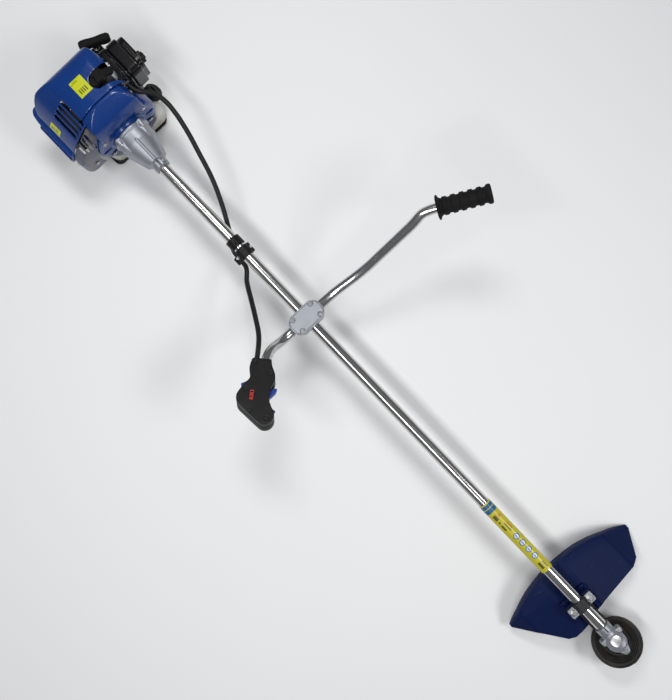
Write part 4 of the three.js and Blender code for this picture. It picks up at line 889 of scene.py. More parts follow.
port_height = 172.3
clear_rubber = Paint("primer bulb rubber", Roughness=0.35)
clear_rubber.shade(Base_Color=clear_rubber.mix(clear_rubber.noise(200, 3), seen(30, 30, 34),
                                               seen(62, 62, 66)))
bulb = turned([(0, -7.2), (2, -7.1), (4, -6.5), (5.6, -5), (6.5, -3), (6.6, 0), (6.6, 2.4), (0, 2.4)],
              (0, 69, port_height - 22), (0, 0, 1), 48)
piece("primer_dome", bulb, "primer", clear_rubber, ["primer_bulb"], smooth=60)
carb_details = joined(
    turned([(7.4, 0), (10.5, 0), (11, 1), (11, 3), (7.4, 3), (7.4, 0)], (0, 69, port_height - 24.6),
           (0, 0, 1), 40),
    pan_screw((-12, 63, port_height + 15), (0, 0, 1), 3),
    pan_screw((12, 76, port_height + 15), (0, 0, 1), 3),
    rod((22, 62, port_height + 8), (22, 62, port_height + 14), 2.4),
    rod((15, 62, port_height + 3), (30, 62, port_height + 3), 1.6),
    turned([(2.2, 0), (5, 0), (5, 5), (4, 6), (4, 12), (2.2, 12), (2.2, 0)], (26, 71, port_height + 0.3),
           (1, 0, -0.03), 6),
)
piece("carburettor_fittings", carb_details, "machine", bright_steel, smooth=30)

# ------------------------------------------------------------------------------- fuel tank
# A milky blow-moulded tank saddled under the fan housing, its filler canted to the left under
# a ribbed black cap. Two hoses rise from its shoulder to the carburettor.

tank_milk = Paint("milky tank plastic", Roughness=0.4, Subsurface_Weight=0.25, Subsurface_Scale=0.01)
fuel_level = tank_milk.node("ShaderNodeSeparateXYZ", (tank_milk.place,), output=2).rise(0.030, 0.0335)
haze = tank_milk.noise(18, 4)
fuelled = tank_milk.mix(fuel_level, seen(184, 176, 150), seen(205, 205, 200))
tank_milk.shade(Base_Color=tank_milk.mix(haze * 0.5, fuelled, seen(176, 178, 180)),
                Roughness=0.34 + haze * 0.2)
tank_milk.relief(tank_milk.noise(500, 3) + haze, 0.0004, 0.25)

tank_back, tank_front, tank_right, tank_left, tank_low, tank_top = -68, 84, -70, 98, 6, 62
filler = Vector((35, 86, 50))
filler_axis = Vector((0, 0.769039, 0.639201))


def tank_plan(inset, low, high):
    return plate(tank_back + inset, tank_front - inset, tank_right + inset, tank_left - inset, low, high,
                 22)


def drum_room():
    """What the tank is cut back by, so that the fan cover's drum clears it."""
    return shaft_rod(cover_seam - 2, tank_front + 6, drum_radius + 2, 96)


tank = combined(
    "UNION", combined(
        "DIFFERENCE", combined("UNION", tank_plan(0, tank_low + 5, tank_top - 5),
                               tank_plan(5, tank_low, tank_top)),
        drum_room(),
        shaft_rod(tank_back - 6, -54, 66, 96)),
    rod(filler - filler_axis * 4, filler + filler_axis * 16, 17),
    rod(filler + filler_axis * 4, filler + filler_axis * 24, 15))
tank = combined("DIFFERENCE", tank, rod(filler + filler_axis * 2, filler + filler_axis * 26, 12))
tank = moulded(tank, grain=1.7, rounds=8, keep=0.35)
seam = combined("DIFFERENCE", tank_plan(-1.1, 33.6, 35.4), tank_plan(1.5, 20, 50),
                drum_room())
tank = joined(tank, seam)
piece("fuel_tank_moulding", tank, "machine", tank_milk, ["fuel_tank"], smooth=50)

fuel_cap = turned([(15.4, 10), (20.6, 15), (20.9, 16), (20.9, 27), (20, 30.5), (18, 32.6), (14, 33.6),
                   (12, 33.4), (11, 32.4), (0, 32.2), (0, 24.4), (15.4, 24.4), (15.4, 10)], filler,
                   filler_axis, 72)
cap_ribs = []
for rib in range(30):
    turn = Matrix.Rotation(tau * rib / 30, 3, filler_axis)
    cap_ribs.append(rod(filler + filler_axis * 16.5 + turn @ Vector((20.6, 0, 0)),
                        filler + filler_axis * 28.5 + turn @ Vector((20.3, 0, 0)), 1.1, 0.8, 8))
cap_bridge = plate(-12, 12, -3, 3, 31.5, 34.6, 2.5)
cap_bridge.transform(aimed(filler, filler_axis, (1, 0, 0)))
piece("fuel_filler_cap", joined(fuel_cap, joined(*cap_ribs), edged(cap_bridge, 0.8, 2)), "tank_cap",
      black_plastic, ["fuel_cap"],
      smooth=40)

hose_rubber = Paint("clear fuel hose", Roughness=0.25, Transmission_Weight=0.0)
hose_rubber.shade(Base_Color=hose_rubber.mix(hose_rubber.noise(90, 2), seen(128, 108, 60),
                                             seen(168, 150, 96)))
feed = flowing([(-30, 74, 60), (-31, 75, 72), (-33, 77, 96), (-31, 76, 124), (-24, 72, 146),
                (-17, 69, 152)], 4)
back_flow = flowing([(-40, 72, 60), (-41, 73, 74), (-42, 75, 98), (-38, 74, 130), (-28, 71, 156),
                     (-18, 69, 163)], 4)
piece("fuel_hoses", joined(hose(feed, 2.6, 16), hose(back_flow, 2.6, 16)), "machine", hose_rubber,
      smooth=60)
grommet_profile = [(2.7, 0), (6, 0), (6, 1.5), (4.5, 3), (4.5, 6), (2.7, 6), (2.7, 0)]
grommets = joined(turned(grommet_profile, (-30, 74, 60.8), (0, 0, 1), 32),
                  turned(grommet_profile, (-40, 72, 60.8), (0, 0, 1), 32))
piece("tank_grommets", grommets, "machine", black_rubber)

# ------------------------------------------------------------------------------- engine stand
# A black nylon skid under the tank that the machine is set down on, with a rear bridge under
# the starter. Two windows lighten the bridge.

stand = combined("UNION", plate(tank_back - 10, tank_front + 2, tank_right - 4, tank_left - 8, 0, 5.6, 16),
                 block(tank_back - 8, tank_back - 2, -34, 34, 1, 47),
                 block(tank_back - 9, tank_back - 1, -34, -29, 1, 47),
                 block(tank_back - 9, tank_back - 1, 29, 34, 1, 47))
stand = combined("DIFFERENCE", stand, *[
    plate(middle - 10, middle + 10, 16, 38, tank_back - 12, tank_back + 2, 4, ALONG_X)
    for middle in (-15, 15)])
piece("engine_skid", edged(stand, 1.1, 2, 50), "machine", black_plastic, ["engine_stand"],
      smooth=40)

# ------------------------------------------------------------------------------- clutch case
# A blasted aluminium casting round the centrifugal clutch: a flange with four bolt bosses, a
# ribbed cone and a split collar that an ear bolt closes on the shaft tube.

flange_x = 88
flange_turns = [radians(a) for a in (45, 135, 225, 315)]


def on_flange(turn, x, radius):
    return Vector((flange_x + x, radius * cos(turn), shaft_height + radius * sin(turn)))


cone = on_shaft([(40, 0), (46, 0), (47, 1.5), (47, 6), (45.5, 8), (43.5, 10), (42, 34), (24.5, 87),
                 (20, 91), (18.5, 92), (18.5, 107), (17.5, 108), (14.4, 108), (14.4, 60), (12.5, 60),
                 (12.5, 48), (40, 38), (40, 0)], flange_x)
case_parts = [cone]
for turn in flange_turns:
    case_parts.append(rod(on_flange(turn, 0, 46), on_flange(turn, 15, 46), 8, 7))
    case_parts.append(rod(on_flange(turn, 10, 44), on_flange(turn, 40, 38), 6.5, 3.5))
for turn in (0, pi / 2, pi, -pi / 2):
    rib = slab([(8, 40), (34, 43.4), (88, 26), (88, 20), (30, 38)], -2, 2, turn=ALONG_Y)
    rib.transform(Matrix.Translation((flange_x, 0, shaft_height)) @ Matrix.Rotation(turn, 4, "X"))
    case_parts.append(rib)
collar_ear = plate(-9, 9, 16, 28, flange_x + 92, flange_x + 108, 3, ALONG_X)
bmesh.ops.translate(collar_ear, verts=collar_ear.verts, vec=(0, 0, shaft_height))
clutch_case = combined("DIFFERENCE", combined("UNION", *case_parts, collar_ear),
                       block(flange_x + 90, flange_x + 110, -1.2, 1.2, shaft_height + 8, shaft_height + 32))
clutch_case = moulded(clutch_case, grain=1.15, rounds=3, keep=0.4)
piece("clutch_case_casting", clutch_case, "machine", cast_aluminium, ["clutch_case"],
      smooth=50)


def socket_screw(seat, direction, radius=4.2, height=5):
    """A cylinder-head screw with a hexagon socket and a knurled side."""
    head = turned([(0, 0), (radius, 0), (radius, height - 0.6), (radius - 0.6, height), (0, height)],
                  (0, 0, 0), (0, 0, 1), 36)
    head = combined("DIFFERENCE", head, rod((0, 0, height - 2.6), (0, 0, height + 1), radius * 0.52,
                                            sides=6))
    washer = turned([(0, -0.2), (radius + 2, -0.2), (radius + 2, 0.9), (0, 0.9)], (0, 0, 0), (0, 0, 1), 36)
    head = joined(head, washer)
    head.transform(aimed(seat, direction))
    return head


case_screws = [socket_screw(on_flange(turn, 15, 46), (1, 0, 0)) for turn in flange_turns]
case_screws.append(socket_screw((flange_x + 100, 9, shaft_height + 23), (0, 1, 0), 3.2, 4))
piece("clutch_case_screws", joined(*case_screws), "machine", bright_steel, smooth=30)

# ------------------------------------------------------------------------------- shaft tube
# A 28 mm drawn tube, 1.5 mm thick and 1.5 m long, polished and lacquered. Its fine lines run lengthways,
# and brownish patches along it are a painted reflection, laid on smears that also make it rougher.

polished_tube = Paint("polished drawn tube", Metallic=1.0)
draw_lines = polished_tube.noise(1500, 3, 0.6, where=polished_tube.mapped(scale=(0.012, 1, 1)))
lacquer = polished_tube.noise(14, 4, 0.6)
# Brownish patches: painted reflection in the base colour. The same mask also raises the roughness.
smears_and_painted_reflection = polished_tube.noise(90, 5, 0.7, where=polished_tube.mapped(scale=(0.3, 1, 1))).rise(0.52, 0.75)
lacquered = polished_tube.mix(lacquer, seen(196, 194, 190), seen(222, 222, 222))
polished_tube.shade(
    Base_Color=polished_tube.mix(smears_and_painted_reflection * 0.45, lacquered, seen(150, 142, 130)),
    Roughness=0.11 + draw_lines * 0.1 + smears_and_painted_reflection * 0.16,
)
polished_tube.relief(draw_lines, 0.00012, 0.35)

tube_radius, tube_inner, tube_start, tube_end = 14, 12.5, 148, 1648
tube = on_shaft([(tube_inner, tube_start), (tube_radius - 0.8, tube_start), (tube_radius, tube_start + 0.8),
                 (tube_radius, tube_end - 0.8), (tube_radius - 0.8, tube_end), (tube_inner, tube_end),
                 (tube_inner, tube_start)])
piece("shaft_tube_drawn", tube, "machine", polished_tube, ["shaft_tube"], smooth=40)

# ------------------------------------------------------------------------------- printed sleeve
# A wrap of yellow film on the shaft above the guard, with a blue band at its upper end and a
# row of round marks and bars. The print is a generic pattern.

sleeve_start, sleeve_end = 1249, 1455
sleeve_print = Paint("yellow printed sleeve", Coat_Weight=0.35, Coat_Roughness=0.15)
sleeve_x = sleeve_print.node("ShaderNodeSeparateXYZ", (sleeve_print.place,), output=0) * 1000
sleeve_y = sleeve_print.node("ShaderNodeSeparateXYZ", (sleeve_print.place,), output=1) * 1000
sleeve_color = sleeve_print.mix(sleeve_print.noise(40, 3) * 0.5, seen(204, 196, 34), seen(178, 166, 26))


def band(value, low, high, edge=0.25):
    return value.rise(low - edge, low + edge) * value.fall(high - edge, high + edge)


blue_block = band(sleeve_x, 1252, 1274) * (1 - band(sleeve_x, 1261, 1263))
sleeve_color = sleeve_print.mix(blue_block, sleeve_color, seen(20, 96, 140))
for bar_start, bar_end, side_low, side_high, shade in (
    (1282, 1296, -9, -1, (28, 34, 30)), (1285, 1293, 2, 9, (206, 108, 30)),
    (1300, 1306, -8, -4, (60, 60, 40)),
    (1310, 1326, -9, -5, (28, 34, 30)), (1310, 1332, 0, 3, (60, 62, 36)),
    (1312, 1330, 6, 9, (196, 110, 36)),
    (1428, 1446, -8, -2, (28, 34, 30)), (1430, 1448, 3, 6, (60, 62, 36)),
):
    mark = band(sleeve_x, bar_start, bar_end) * band(sleeve_y, side_low, side_high)
    sleeve_color = sleeve_print.mix(mark * 0.85, sleeve_color, seen(*shade))
for disc in range(4):
    middle = 1350 + disc * 20
    away = ((sleeve_x - middle) * (sleeve_x - middle) + (sleeve_y - 1) * (sleeve_y - 1)).math("SQRT")
    sleeve_color = sleeve_print.mix(away.fall(7.2, 7.7), sleeve_color, seen(38, 96, 168))
    sleeve_color = sleeve_print.mix(away.fall(5.2, 5.7), sleeve_color, seen(206, 214, 214))
    sleeve_color = sleeve_print.mix(band(sleeve_y - 1, -1, 1) * away.fall(3.6, 4), sleeve_color,
                                    seen(38, 96, 168))
wrap_lift = sleeve_print.noise(26, 4)
sleeve_print.shade(Base_Color=sleeve_color, Roughness=0.3 + wrap_lift * 0.2)
sleeve_print.relief(wrap_lift + sleeve_print.noise(160, 3) * 0.3, 0.0006, 0.25)
sleeve = on_shaft([(14.1, sleeve_start), (14.9, sleeve_start + 0.2), (14.9, sleeve_end - 0.2),
                   (14.1, sleeve_end), (14.1, sleeve_start)])
overlap = on_shaft([(14.85, sleeve_start + 0.5), (15.15, sleeve_start + 0.8), (15.15, sleeve_end - 0.8),
                    (14.85, sleeve_end - 0.5), (14.85, sleeve_start + 0.5)])
overlap = combined("INTERSECT", overlap, block(sleeve_start, sleeve_end, -16, -3, shaft_height - 16,
                                               shaft_height - 4))
piece("shaft_film", joined(sleeve, overlap), "machine", sleeve_print, ["shaft_sleeve"],
      smooth=40)

# ------------------------------------------------------------------------------- hanger and clip
# A black nylon band with an upright eye for the harness hook, and beside it a two-part clip
# that closes on the tube with two screws and holds the throttle conduit beneath.

tube_bore = 14.2
hanger_x = 431
eye_height = 141
hanger = combined("UNION", on_shaft([(tube_bore, -12), (17.4, -12), (18, -11), (18, 11), (17.4, 12),
                                     (tube_bore, 12), (tube_bore, -12)], hanger_x, 72),
                  plate(hanger_x - 11, hanger_x + 11, 127, eye_height + 12, -3, 3, 9.5, ALONG_Y),
                  slab([(-7, 124), (7, 124), (4, 133), (-4, 133)], hanger_x - 10, hanger_x + 10, 1,
                       ALONG_X))
hanger = combined("DIFFERENCE", hanger, rod((hanger_x, -6, eye_height), (hanger_x, 6, eye_height), 6.4),
                  shaft_rod(hanger_x - 20, hanger_x + 20, tube_bore))
piece("harness_eye_band", moulded(hanger, 0.9, 3, 0.4), "machine", black_plastic,
      ["harness_hanger"], smooth=50)

clip_x = 461
conduit_clip = Vector((clip_x, -18, 86.5))
clip_from, clip_to = clip_x - 13, clip_x + 13
clip = combined(
    "UNION", on_shaft([(tube_bore, -13), (17.6, -13), (18.4, -12), (18.4, 12), (17.6, 13), (tube_bore, 13),
                       (tube_bore, -13)], clip_x, 72),
    slab([(-22, 106), (-22, 118), (22, 118), (22, 106)], clip_from + 1, clip_to - 1, 3, ALONG_X),
    rod(conduit_clip - Vector((9, 0, 0)), conduit_clip + Vector((9, 0, 0)), 12),
    slab([(-28, 92), (-14, 104), (0, 98), (-10, 84)], clip_from + 4, clip_to - 4, 2, ALONG_X))
clip = combined("DIFFERENCE", clip, shaft_rod(clip_from - 2, clip_to + 2, tube_bore),
                rod(conduit_clip - Vector((20, 0, 0)), conduit_clip + Vector((20, 0, 0)), 7),
                block(clip_from - 2, clip_to + 2, -24, -17.5, 111.3, 112.7),
                block(clip_from - 2, clip_to + 2, 17.5, 24, 111.3, 112.7))
piece("conduit_clip", moulded(clip, 0.9, 3, 0.4), "machine", black_plastic,
      ["cable_clip"], smooth=50)
piece("clip_screws", joined(pan_screw((clip_x, 20, 117.6), (0, 0, 1), 2.8),
                            pan_screw((clip_x, -20, 117.6), (0, 0, 1), 2.8)),
      "machine", bright_steel, smooth=30)

# ------------------------------------------------------------------------------- handlebar clamp
# Two octagonal die-castings, the lower one seated across the shaft tube and the upper one
# closed over the bar by four socket screws in counterbores.

bar_x, bar_height, bar_bore, clamp_top = 668, 144, 11.4, 167
screw_places = [(bar_x + along * 16, across * 27) for along in (-1, 1) for across in (-1, 1)]


def clamp_plan(low, high, inset=0.0):
    return slab([(bar_x - 25 + inset, -28), (bar_x - 12, -43 + inset), (bar_x + 12, -43 + inset),
                 (bar_x + 25 - inset, -28), (bar_x + 25 - inset, 28), (bar_x + 12, 43 - inset),
                 (bar_x - 12, 43 - inset), (bar_x - 25 + inset, 28)],
                low, high, 5)


lower = combined("DIFFERENCE", clamp_plan(90, bar_height - 0.4),
                 shaft_rod(bar_x - 30, bar_x + 30, tube_bore),
                 rod((bar_x, -50, bar_height), (bar_x, 50, bar_height), bar_bore, sides=72))
upper = combined("UNION", clamp_plan(bar_height + 0.4, clamp_top - 2.5),
                 clamp_plan(clamp_top - 4, clamp_top, 4))
upper = combined("DIFFERENCE", upper, rod((bar_x, -50, bar_height), (bar_x, 50, bar_height), bar_bore,
                                          sides=72),
                 *[rod((x, y, 161), (x, y, 180), 6.2) for x, y in screw_places])
piece("bar_clamp_lower", moulded(lower, 1.1, 3, 0.4), "machine", cast_aluminium,
      ["clamp_base"], smooth=50)
piece("bar_clamp_upper", moulded(upper, 1.0, 3, 0.45), "machine", cast_aluminium,
      ["clamp_cap"], smooth=50)
clamp_screws = [socket_screw((x, y, 161.2), (0, 0, 1), 4, 5.2) for x, y in screw_places]
piece("bar_clamp_screws", joined(*clamp_screws), "machine", bright_steel, smooth=30)

# ------------------------------------------------------------------------------- handlebar
# A 22 mm polished tube bent up from its clamp to each hand: a short arm on the right for the
# throttle handle, and a long rising arm on the left for the plain grip.

handle_start = Vector((682, -134, 207))
handle_along = Vector((0.56, -0.655, 0.507)).normalized()
grip_start = Vector((697, 351, 277))
grip_along = Vector((0.495, 0.83, 0.247)).normalized()


def bent(corners, reach, bend_parts=10, step=25):
    """Points along straight runs joined by bends that start a reach from each corner."""
    path = [corners[0]]
    for before, corner, after in zip(corners, corners[1:], corners[2:]):
        back, ahead = (before - corner), (after - corner)
        start = corner + back.normalized() * min(reach, back.length * 0.45)
        end = corner + ahead.normalized() * min(reach, ahead.length * 0.45)
        for part in range(bend_parts + 1):
            t = part / bend_parts
            path.append(start * (1 - t) ** 2 + corner * 2 * t * (1 - t) + end * t**2)
    path.append(corners[-1])
    filled = [path[0]]
    for point in path[1:]:
        gap = point - filled[-1]
        parts = max(1, int(gap.length / step))
        filled += [filled[-1] + gap * (part / parts) for part in range(1, parts + 1)]
    return filled


bar_path = bent([
    handle_start + handle_along * 34, handle_start - handle_along * 32, Vector((bar_x, -72, bar_height)),
    Vector((bar_x, 72, bar_height)), Vector((681, 163, 172)), Vector((686, 300, 255)),
    grip_start - grip_along * 30, grip_start + grip_along * 107,
], 30)
polished_bar = Paint("polished handlebar tube", Metallic=1.0)
bar_lines = polished_bar.noise(900, 3, 0.6, where=polished_bar.mapped(scale=(1, 0.02, 0.4)))
bar_haze = polished_bar.noise(30, 4, 0.6)
bar_scuffs = polished_bar.noise(120, 5, 0.75).rise(0.6, 0.72)
polished_bar.shade(
    Base_Color=polished_bar.mix(bar_haze, seen(190, 189, 187), seen(224, 224, 224)),
    Roughness=0.12 + bar_lines * 0.09 + bar_scuffs * 0.2,
)
polished_bar.relief(bar_lines, 0.00012, 0.3)
piece("handlebar_tube", hose(bar_path, 11, 48), "machine", polished_bar, ["handlebar"], smooth=60)

# ------------------------------------------------------------------------------- left grip
# A moulded rubber sleeve pushed on to the bar: a flange towards the clamp, five broad finger
# bands with fine grooves between them, and a bulb that closes its end.

grip_profile = [(11.6, 0), (24, 0), (26, 1), (26.4, 2.5), (25.6, 4.4), (21, 6), (19, 8), (18, 10)]
for finger in range(5):
    start = 12 + finger * 18
    grip_profile += [(17.2, start), (18.4, start + 1), (19, start + 3), (19.2, start + 6), (19, start + 9),
                     (18.4, start + 11), (17.2, start + 12), (16.9, start + 12.6), (16.9, start + 16.4)]
grip_profile += [(17.6, 103), (20, 105), (21, 108), (20.8, 112), (18.6, 114.4), (14, 115), (0, 115),
                 (0, 110), (11.6, 110), (11.6, 0)]
grip = turned(grip_profile, grip_start, grip_along, 72)
pads = []
for finger in range(5):
    for step in range(16):
        out = Matrix.Rotation(tau * step / 16, 3, grip_along) @ Vector((0, 0, 1))
        out = (out - grip_along * out.dot(grip_along)).normalized()
        middle = grip_start + grip_along * (18 + finger * 18) + out * 19
        pads.append(rod(middle - grip_along * 4.2, middle + grip_along * 4.2, 0.9, 0.9, 8))
piece("left_grip_sleeve", joined(grip, *pads), "machine", black_rubber, ["left_grip"],
      smooth=50)

# ------------------------------------------------------------------------------- throttle handle
# Two black nylon halves screwed together on the end of the short arm. A blue trigger sits in
# front, a blue lockout lever behind, a blue half-throttle button and a red stop switch on top.

handle_out = Vector((0.760046, 0.649869, 0.000076))
handle_up = handle_along.cross(handle_out).normalized()
handle_turn = Matrix((handle_along, handle_out, handle_up)).transposed()
handle_place = Matrix.Translation(handle_start) @ handle_turn.to_4x4()


def on_handle(mesh):
    mesh.transform(handle_place)
    bmesh.ops.recalc_face_normals(mesh, faces=mesh.faces)
    return mesh


def handle_point(along, out, up):
    return handle_place @ Vector((along, out, up))


housing_outline = [(-4, -14, 3), (-4, -28, 5), (20, -32, 8), (46, -25, 8), (58, -36, 8), (97, -55, 18),
                   (156, 18, 18), (129, 41, 16), (110, 28, 5), (88, 18, 6), (66, 20, 6), (38, 29, 12),
                   (8, 15, 6), (-4, 14, 3)]
housing_screws = [(4, -21), (30, 16), (120, -16), (135, 20), (72, -32)]
button_along, button_out = 109, 26
switch_along, switch_out = 86, -17


def housing_half(low, high):
    half = slab(housing_outline, low, high, segments=5)
    half = combined(
        "DIFFERENCE", half, rod((-10, 0, 0), (38, 0, 0), bar_bore, sides=48),
        rod((-10, -20, 0), (15, -20, 0), 6.9),
        block(49, 97, 1, 52, -6.4, 6.4), block(37, 75, -62, -7, -5.4, 5.4),
        plate(77.1, 94.9, -20.4, -13.6, 14, 30),
        plate(72.4, 99.6, -20.6, -13.4, 14, 17),
        rod((button_along, button_out, 0), (118, 39, 0), 5.4),
        *[rod((along, out, 17.2), (along, out, 25), 4.2) for along, out in housing_screws])
    return moulded(half, grain=1.15, rounds=14, keep=0.35)


handle_black = Paint("satin black nylon", Specular_IOR_Level=0.35)
spark = handle_black.noise(2600, 2)
palm_shine = handle_black.noise(30, 5, 0.65).rise(0.5, 0.74)
handle_black.shade(Base_Color=handle_black.mix(palm_shine * 0.6, seen(14, 14, 15), seen(34, 33, 32)),
                   Roughness=0.42 + spark * 0.2 - palm_shine * 0.1)
handle_black.relief(spark, 0.0002, 0.5)
piece("handle_half_upper", on_handle(housing_half(0.25, 19)), "machine", handle_black,
      ["throttle_housing_upper"], smooth=50)
piece("handle_half_lower", on_handle(housing_half(-19, -0.25)), "machine", handle_black,
      ["throttle_housing_lower"], smooth=50)
piece("handle_screws", joined(*[
    pan_screw(handle_point(along, out, 17.4), handle_up, 3.2) for along, out in housing_screws]),
    "machine", dark_steel, smooth=30)

control_blue = Paint("blue control plastic", Coat_Weight=0.2)
thumbed = control_blue.noise(60, 4, 0.6).rise(0.45, 0.75)
control_blue.shade(Base_Color=control_blue.mix(thumbed * 0.7, seen(10, 58, 150), seen(34, 86, 170)),
                   Roughness=0.36 + control_blue.noise(500, 2) * 0.12)
control_blue.relief(control_blue.noise(1600, 2), 0.00015, 0.4)
trigger = slab([(90, 4), (90, 15), (80, 22), (68, 31), (58, 33), (60, 24), (72, 14), (80, 5)], -5, 5, 1.5)
trigger = joined(trigger, *[slab([(62 + i * 4.5, 31.6 - i * 3), (64.5 + i * 4.5, 30.2 - i * 3),
                                  (64 + i * 4.5, 28 - i * 3), (61.6 + i * 4.5, 29.4 - i * 3)], -4, 4,
                                  0.5) for i in range(4)])
piece("finger_trigger", on_handle(moulded(trigger, 0.7, 5, 0.45)), "trigger", control_blue,
      ["throttle_trigger"], smooth=50)
lockout = slab([(40, -9), (49, -9), (60, -30), (62, -43), (54, -45), (46, -32), (40, -20)], -4.6, 4.6, 1.5)
piece("palm_lockout", on_handle(moulded(lockout, 0.7, 5, 0.45)), "lockout", control_blue,
      ["lockout_lever"], smooth=50)
button = turned([(0, -8), (4.8, -8), (4.8, 7.4), (4.2, 8.6), (2.6, 8.9), (2.2, 8.5), (0, 8.4)],
                (button_along, button_out, 0), Vector((9, 13, 0)).normalized(), 40)
piece("set_button", on_handle(button), "half_throttle", control_blue,
      ["half_throttle_button"], smooth=40)

switch_red = Paint("red switch plastic", Coat_Weight=0.2)
switch_red.shade(Base_Color=switch_red.mix(switch_red.noise(90, 3), seen(176, 40, 38), seen(206, 70, 62)),
                 Roughness=0.34 + switch_red.noise(700, 2) * 0.14)
switch_red.relief(switch_red.noise(1500, 2), 0.00012, 0.4)
switch = joined(plate(-8.2, 8.2, -3, 3, 14.6, 16.4, 1),
                plate(-3.8, 3.8, -3, 3, 16, 20.6, 1),
                *[plate(-3.4 + i * 1.9, -2.3 + i * 1.9, -2.7, 2.7, 20, 22.8, 0.4)
                  for i in range(4)])
bmesh.ops.translate(switch, verts=switch.verts, vec=(switch_along, switch_out, 0))
switch_track = plate(75, 97, -21, -13, 18.5, 19.6, 2)
switch_track = combined("DIFFERENCE", switch_track, plate(77.2, 94.8, -20.2, -13.8, 18, 20))
piece("switch_track", on_handle(switch_track), "machine", switch_red, smooth=30)
piece("stop_slider", on_handle(switch), "switch", switch_red, ["stop_switch"], smooth=30)

# ------------------------------------------------------------------------------- throttle conduit
# A corrugated black plastic conduit, 12 mm across, with the throttle cable and the stop wires in
# it. It leaves the engine beside the air cleaner, is held at mid-shaft by the clip and ends in
# the throttle handle.

handle_entry = handle_start - handle_out * 20
conduit_route = [Vector(point) for point in (
    (27, 71, 172.3), (38, 71, 171.3), (52, 77, 168), (64, 90, 160), (78, 101, 150), (100, 106, 140),
    (133, 104, 134), (170, 97, 127), (228, 81, 115), (290, 62, 105), (348, 36, 95), (402, 6, 87),
    (441, -16.5, 86.5), (461, -18, 86.5), (481, -20, 86.5), (510, -42, 97), (548, -62, 120),
    (587, -82, 146), (625, -104, 173), (648, -125, 194))]
conduit_route += [handle_entry - handle_along * 8, handle_entry + handle_along * 14]
conduit_points = flowing(conduit_route, 2.2)
conduit_mesh = hose(conduit_points, [6.0 if index % 2 else 5.35 for index in range(len(conduit_points))],
                    16)
conduit_black = Paint("corrugated black conduit", Specular_IOR_Level=0.35)
conduit_dust = conduit_black.noise(120, 4, 0.6)
conduit_black.shade(Base_Color=conduit_black.mix(conduit_dust * 0.6, seen(12, 12, 13), seen(40, 40, 40)),
                    Roughness=0.42 + conduit_dust * 0.2)
conduit_black.relief(conduit_dust, 0.0002, 0.3)
conduit = piece("throttle_conduit", conduit_mesh, "machine", conduit_black,
                ["throttle_cable"], smooth=70)
conduit_line = [point / 1000 for point in conduit_points]
sum((b - a).length for a, b in zip(conduit_line, conduit_line[1:]))

# ------------------------------------------------------------------------------- guard
# A deep blue moulded guard over the rear of the line head: a fan-shaped plate whose two tips
# bend down, with a straight front edge, a rolled rear rim and a bead along it. A raised arrow
# shows which way the head turns.

guard_blue = Paint("deep blue guard moulding", Specular_IOR_Level=0.15)
guard_clouds = guard_blue.noise(9, 4, 0.55)
grass_dust = guard_blue.noise(60, 6, 0.7).rise(0.56, 0.76)
guard_scratches = guard_blue.noise(240, 3, 0.8, where=guard_blue.mapped(scale=(1, 0.05, 0.3),
    rotation=(0, 0, 0.5))).rise(0.68, 0.72)
guard_color = guard_blue.mix(guard_clouds, seen(0, 17, 60), seen(2, 25, 74))
guard_color = guard_blue.mix(grass_dust * 0.2, guard_color, seen(40, 54, 84))
guard_blue.shade(Base_Color=guard_blue.mix(guard_scratches * 0.3, guard_color, seen(80, 100, 140)),
                 Roughness=0.5 + grass_dust * 0.2 + guard_clouds * 0.06)
guard_blue.relief(guard_clouds + guard_blue.noise(900, 2) * 0.05, 0.0008, 0.25)

guard_centre_x, guard_centre_y, guard_radius, guard_height = 1768, 10, 295, 84
front_edge = [(-156, 1530), (-114, 1574), (-76, 1624), (-60, 1631), (-14, 1627), (15, 1618), (45, 1614),
              (153, 1615), (172, 1612), (210, 1562)]


def front_at(y):
    if y <= front_edge[0][0]:
        return front_edge[0][1]
    for (y0, x0), (y1, x1) in zip(front_edge, front_edge[1:]):
        if y <= y1:
            return x0 + (x1 - x0) * (y - y0) / (y1 - y0)
    return front_edge[-1][1]


def rear_at(y):
    return guard_centre_x - sqrt(max(guard_radius**2 - (y - guard_centre_y) ** 2, 0))


def guard_top(y):
    return guard_height - 0.25 * max(0, abs(y) - 40) - 0.6 * max(0, y - 150, -118 - y)


def guard_ring(mesh, y):
    """One closed cross-section of the guard at y: lip, top skin with its bead, corner and rim."""
    front, rear, top = front_at(y), rear_at(y), guard_top(y)
    rim = max(0.6, top * 0.6) - 0.3
    corner = min(7, (front - rear) / 3, (top - rim) * 0.6)
    bead = min(1, corner / 7) * 0.9
    reach = (front - rear) / 24
    outline = [
        (front, top - 1), (front - 0.8, top - 0.1), (front - 5 * reach, top), (rear + 14 * reach, top),
        (rear + 8 * reach, top - 0.1), (rear + 7 * reach, top + bead - 0.9),
        (rear + 5.4 * reach, top + bead - 0.9), (rear + 4.6 * reach, top - 0.9),
        (rear + corner, top - 0.9), (rear + corner * 0.3, top - 0.9 - corner * 0.3),
        (rear, top - 0.9 - corner), (rear, rim + 2), (rear, rim), (rear + 2.6, rim), (rear + 2.8, rim + 2),
        (rear + 2.8, top - 4 - corner * 0.7), (rear + 2.8 + corner * 0.4, top - 3.4),
        (rear + 9 * reach, top - 2.9), (front - 5 * reach, top - 2.9), (front - 0.6, top - 2.9),
    ]
    verts = [mesh.verts.new((x, y, max(z, 0.4))) for x, z in outline]
    return verts, [mesh.edges.new(pair) for pair in zip(verts, verts[1:] + verts[:1])]


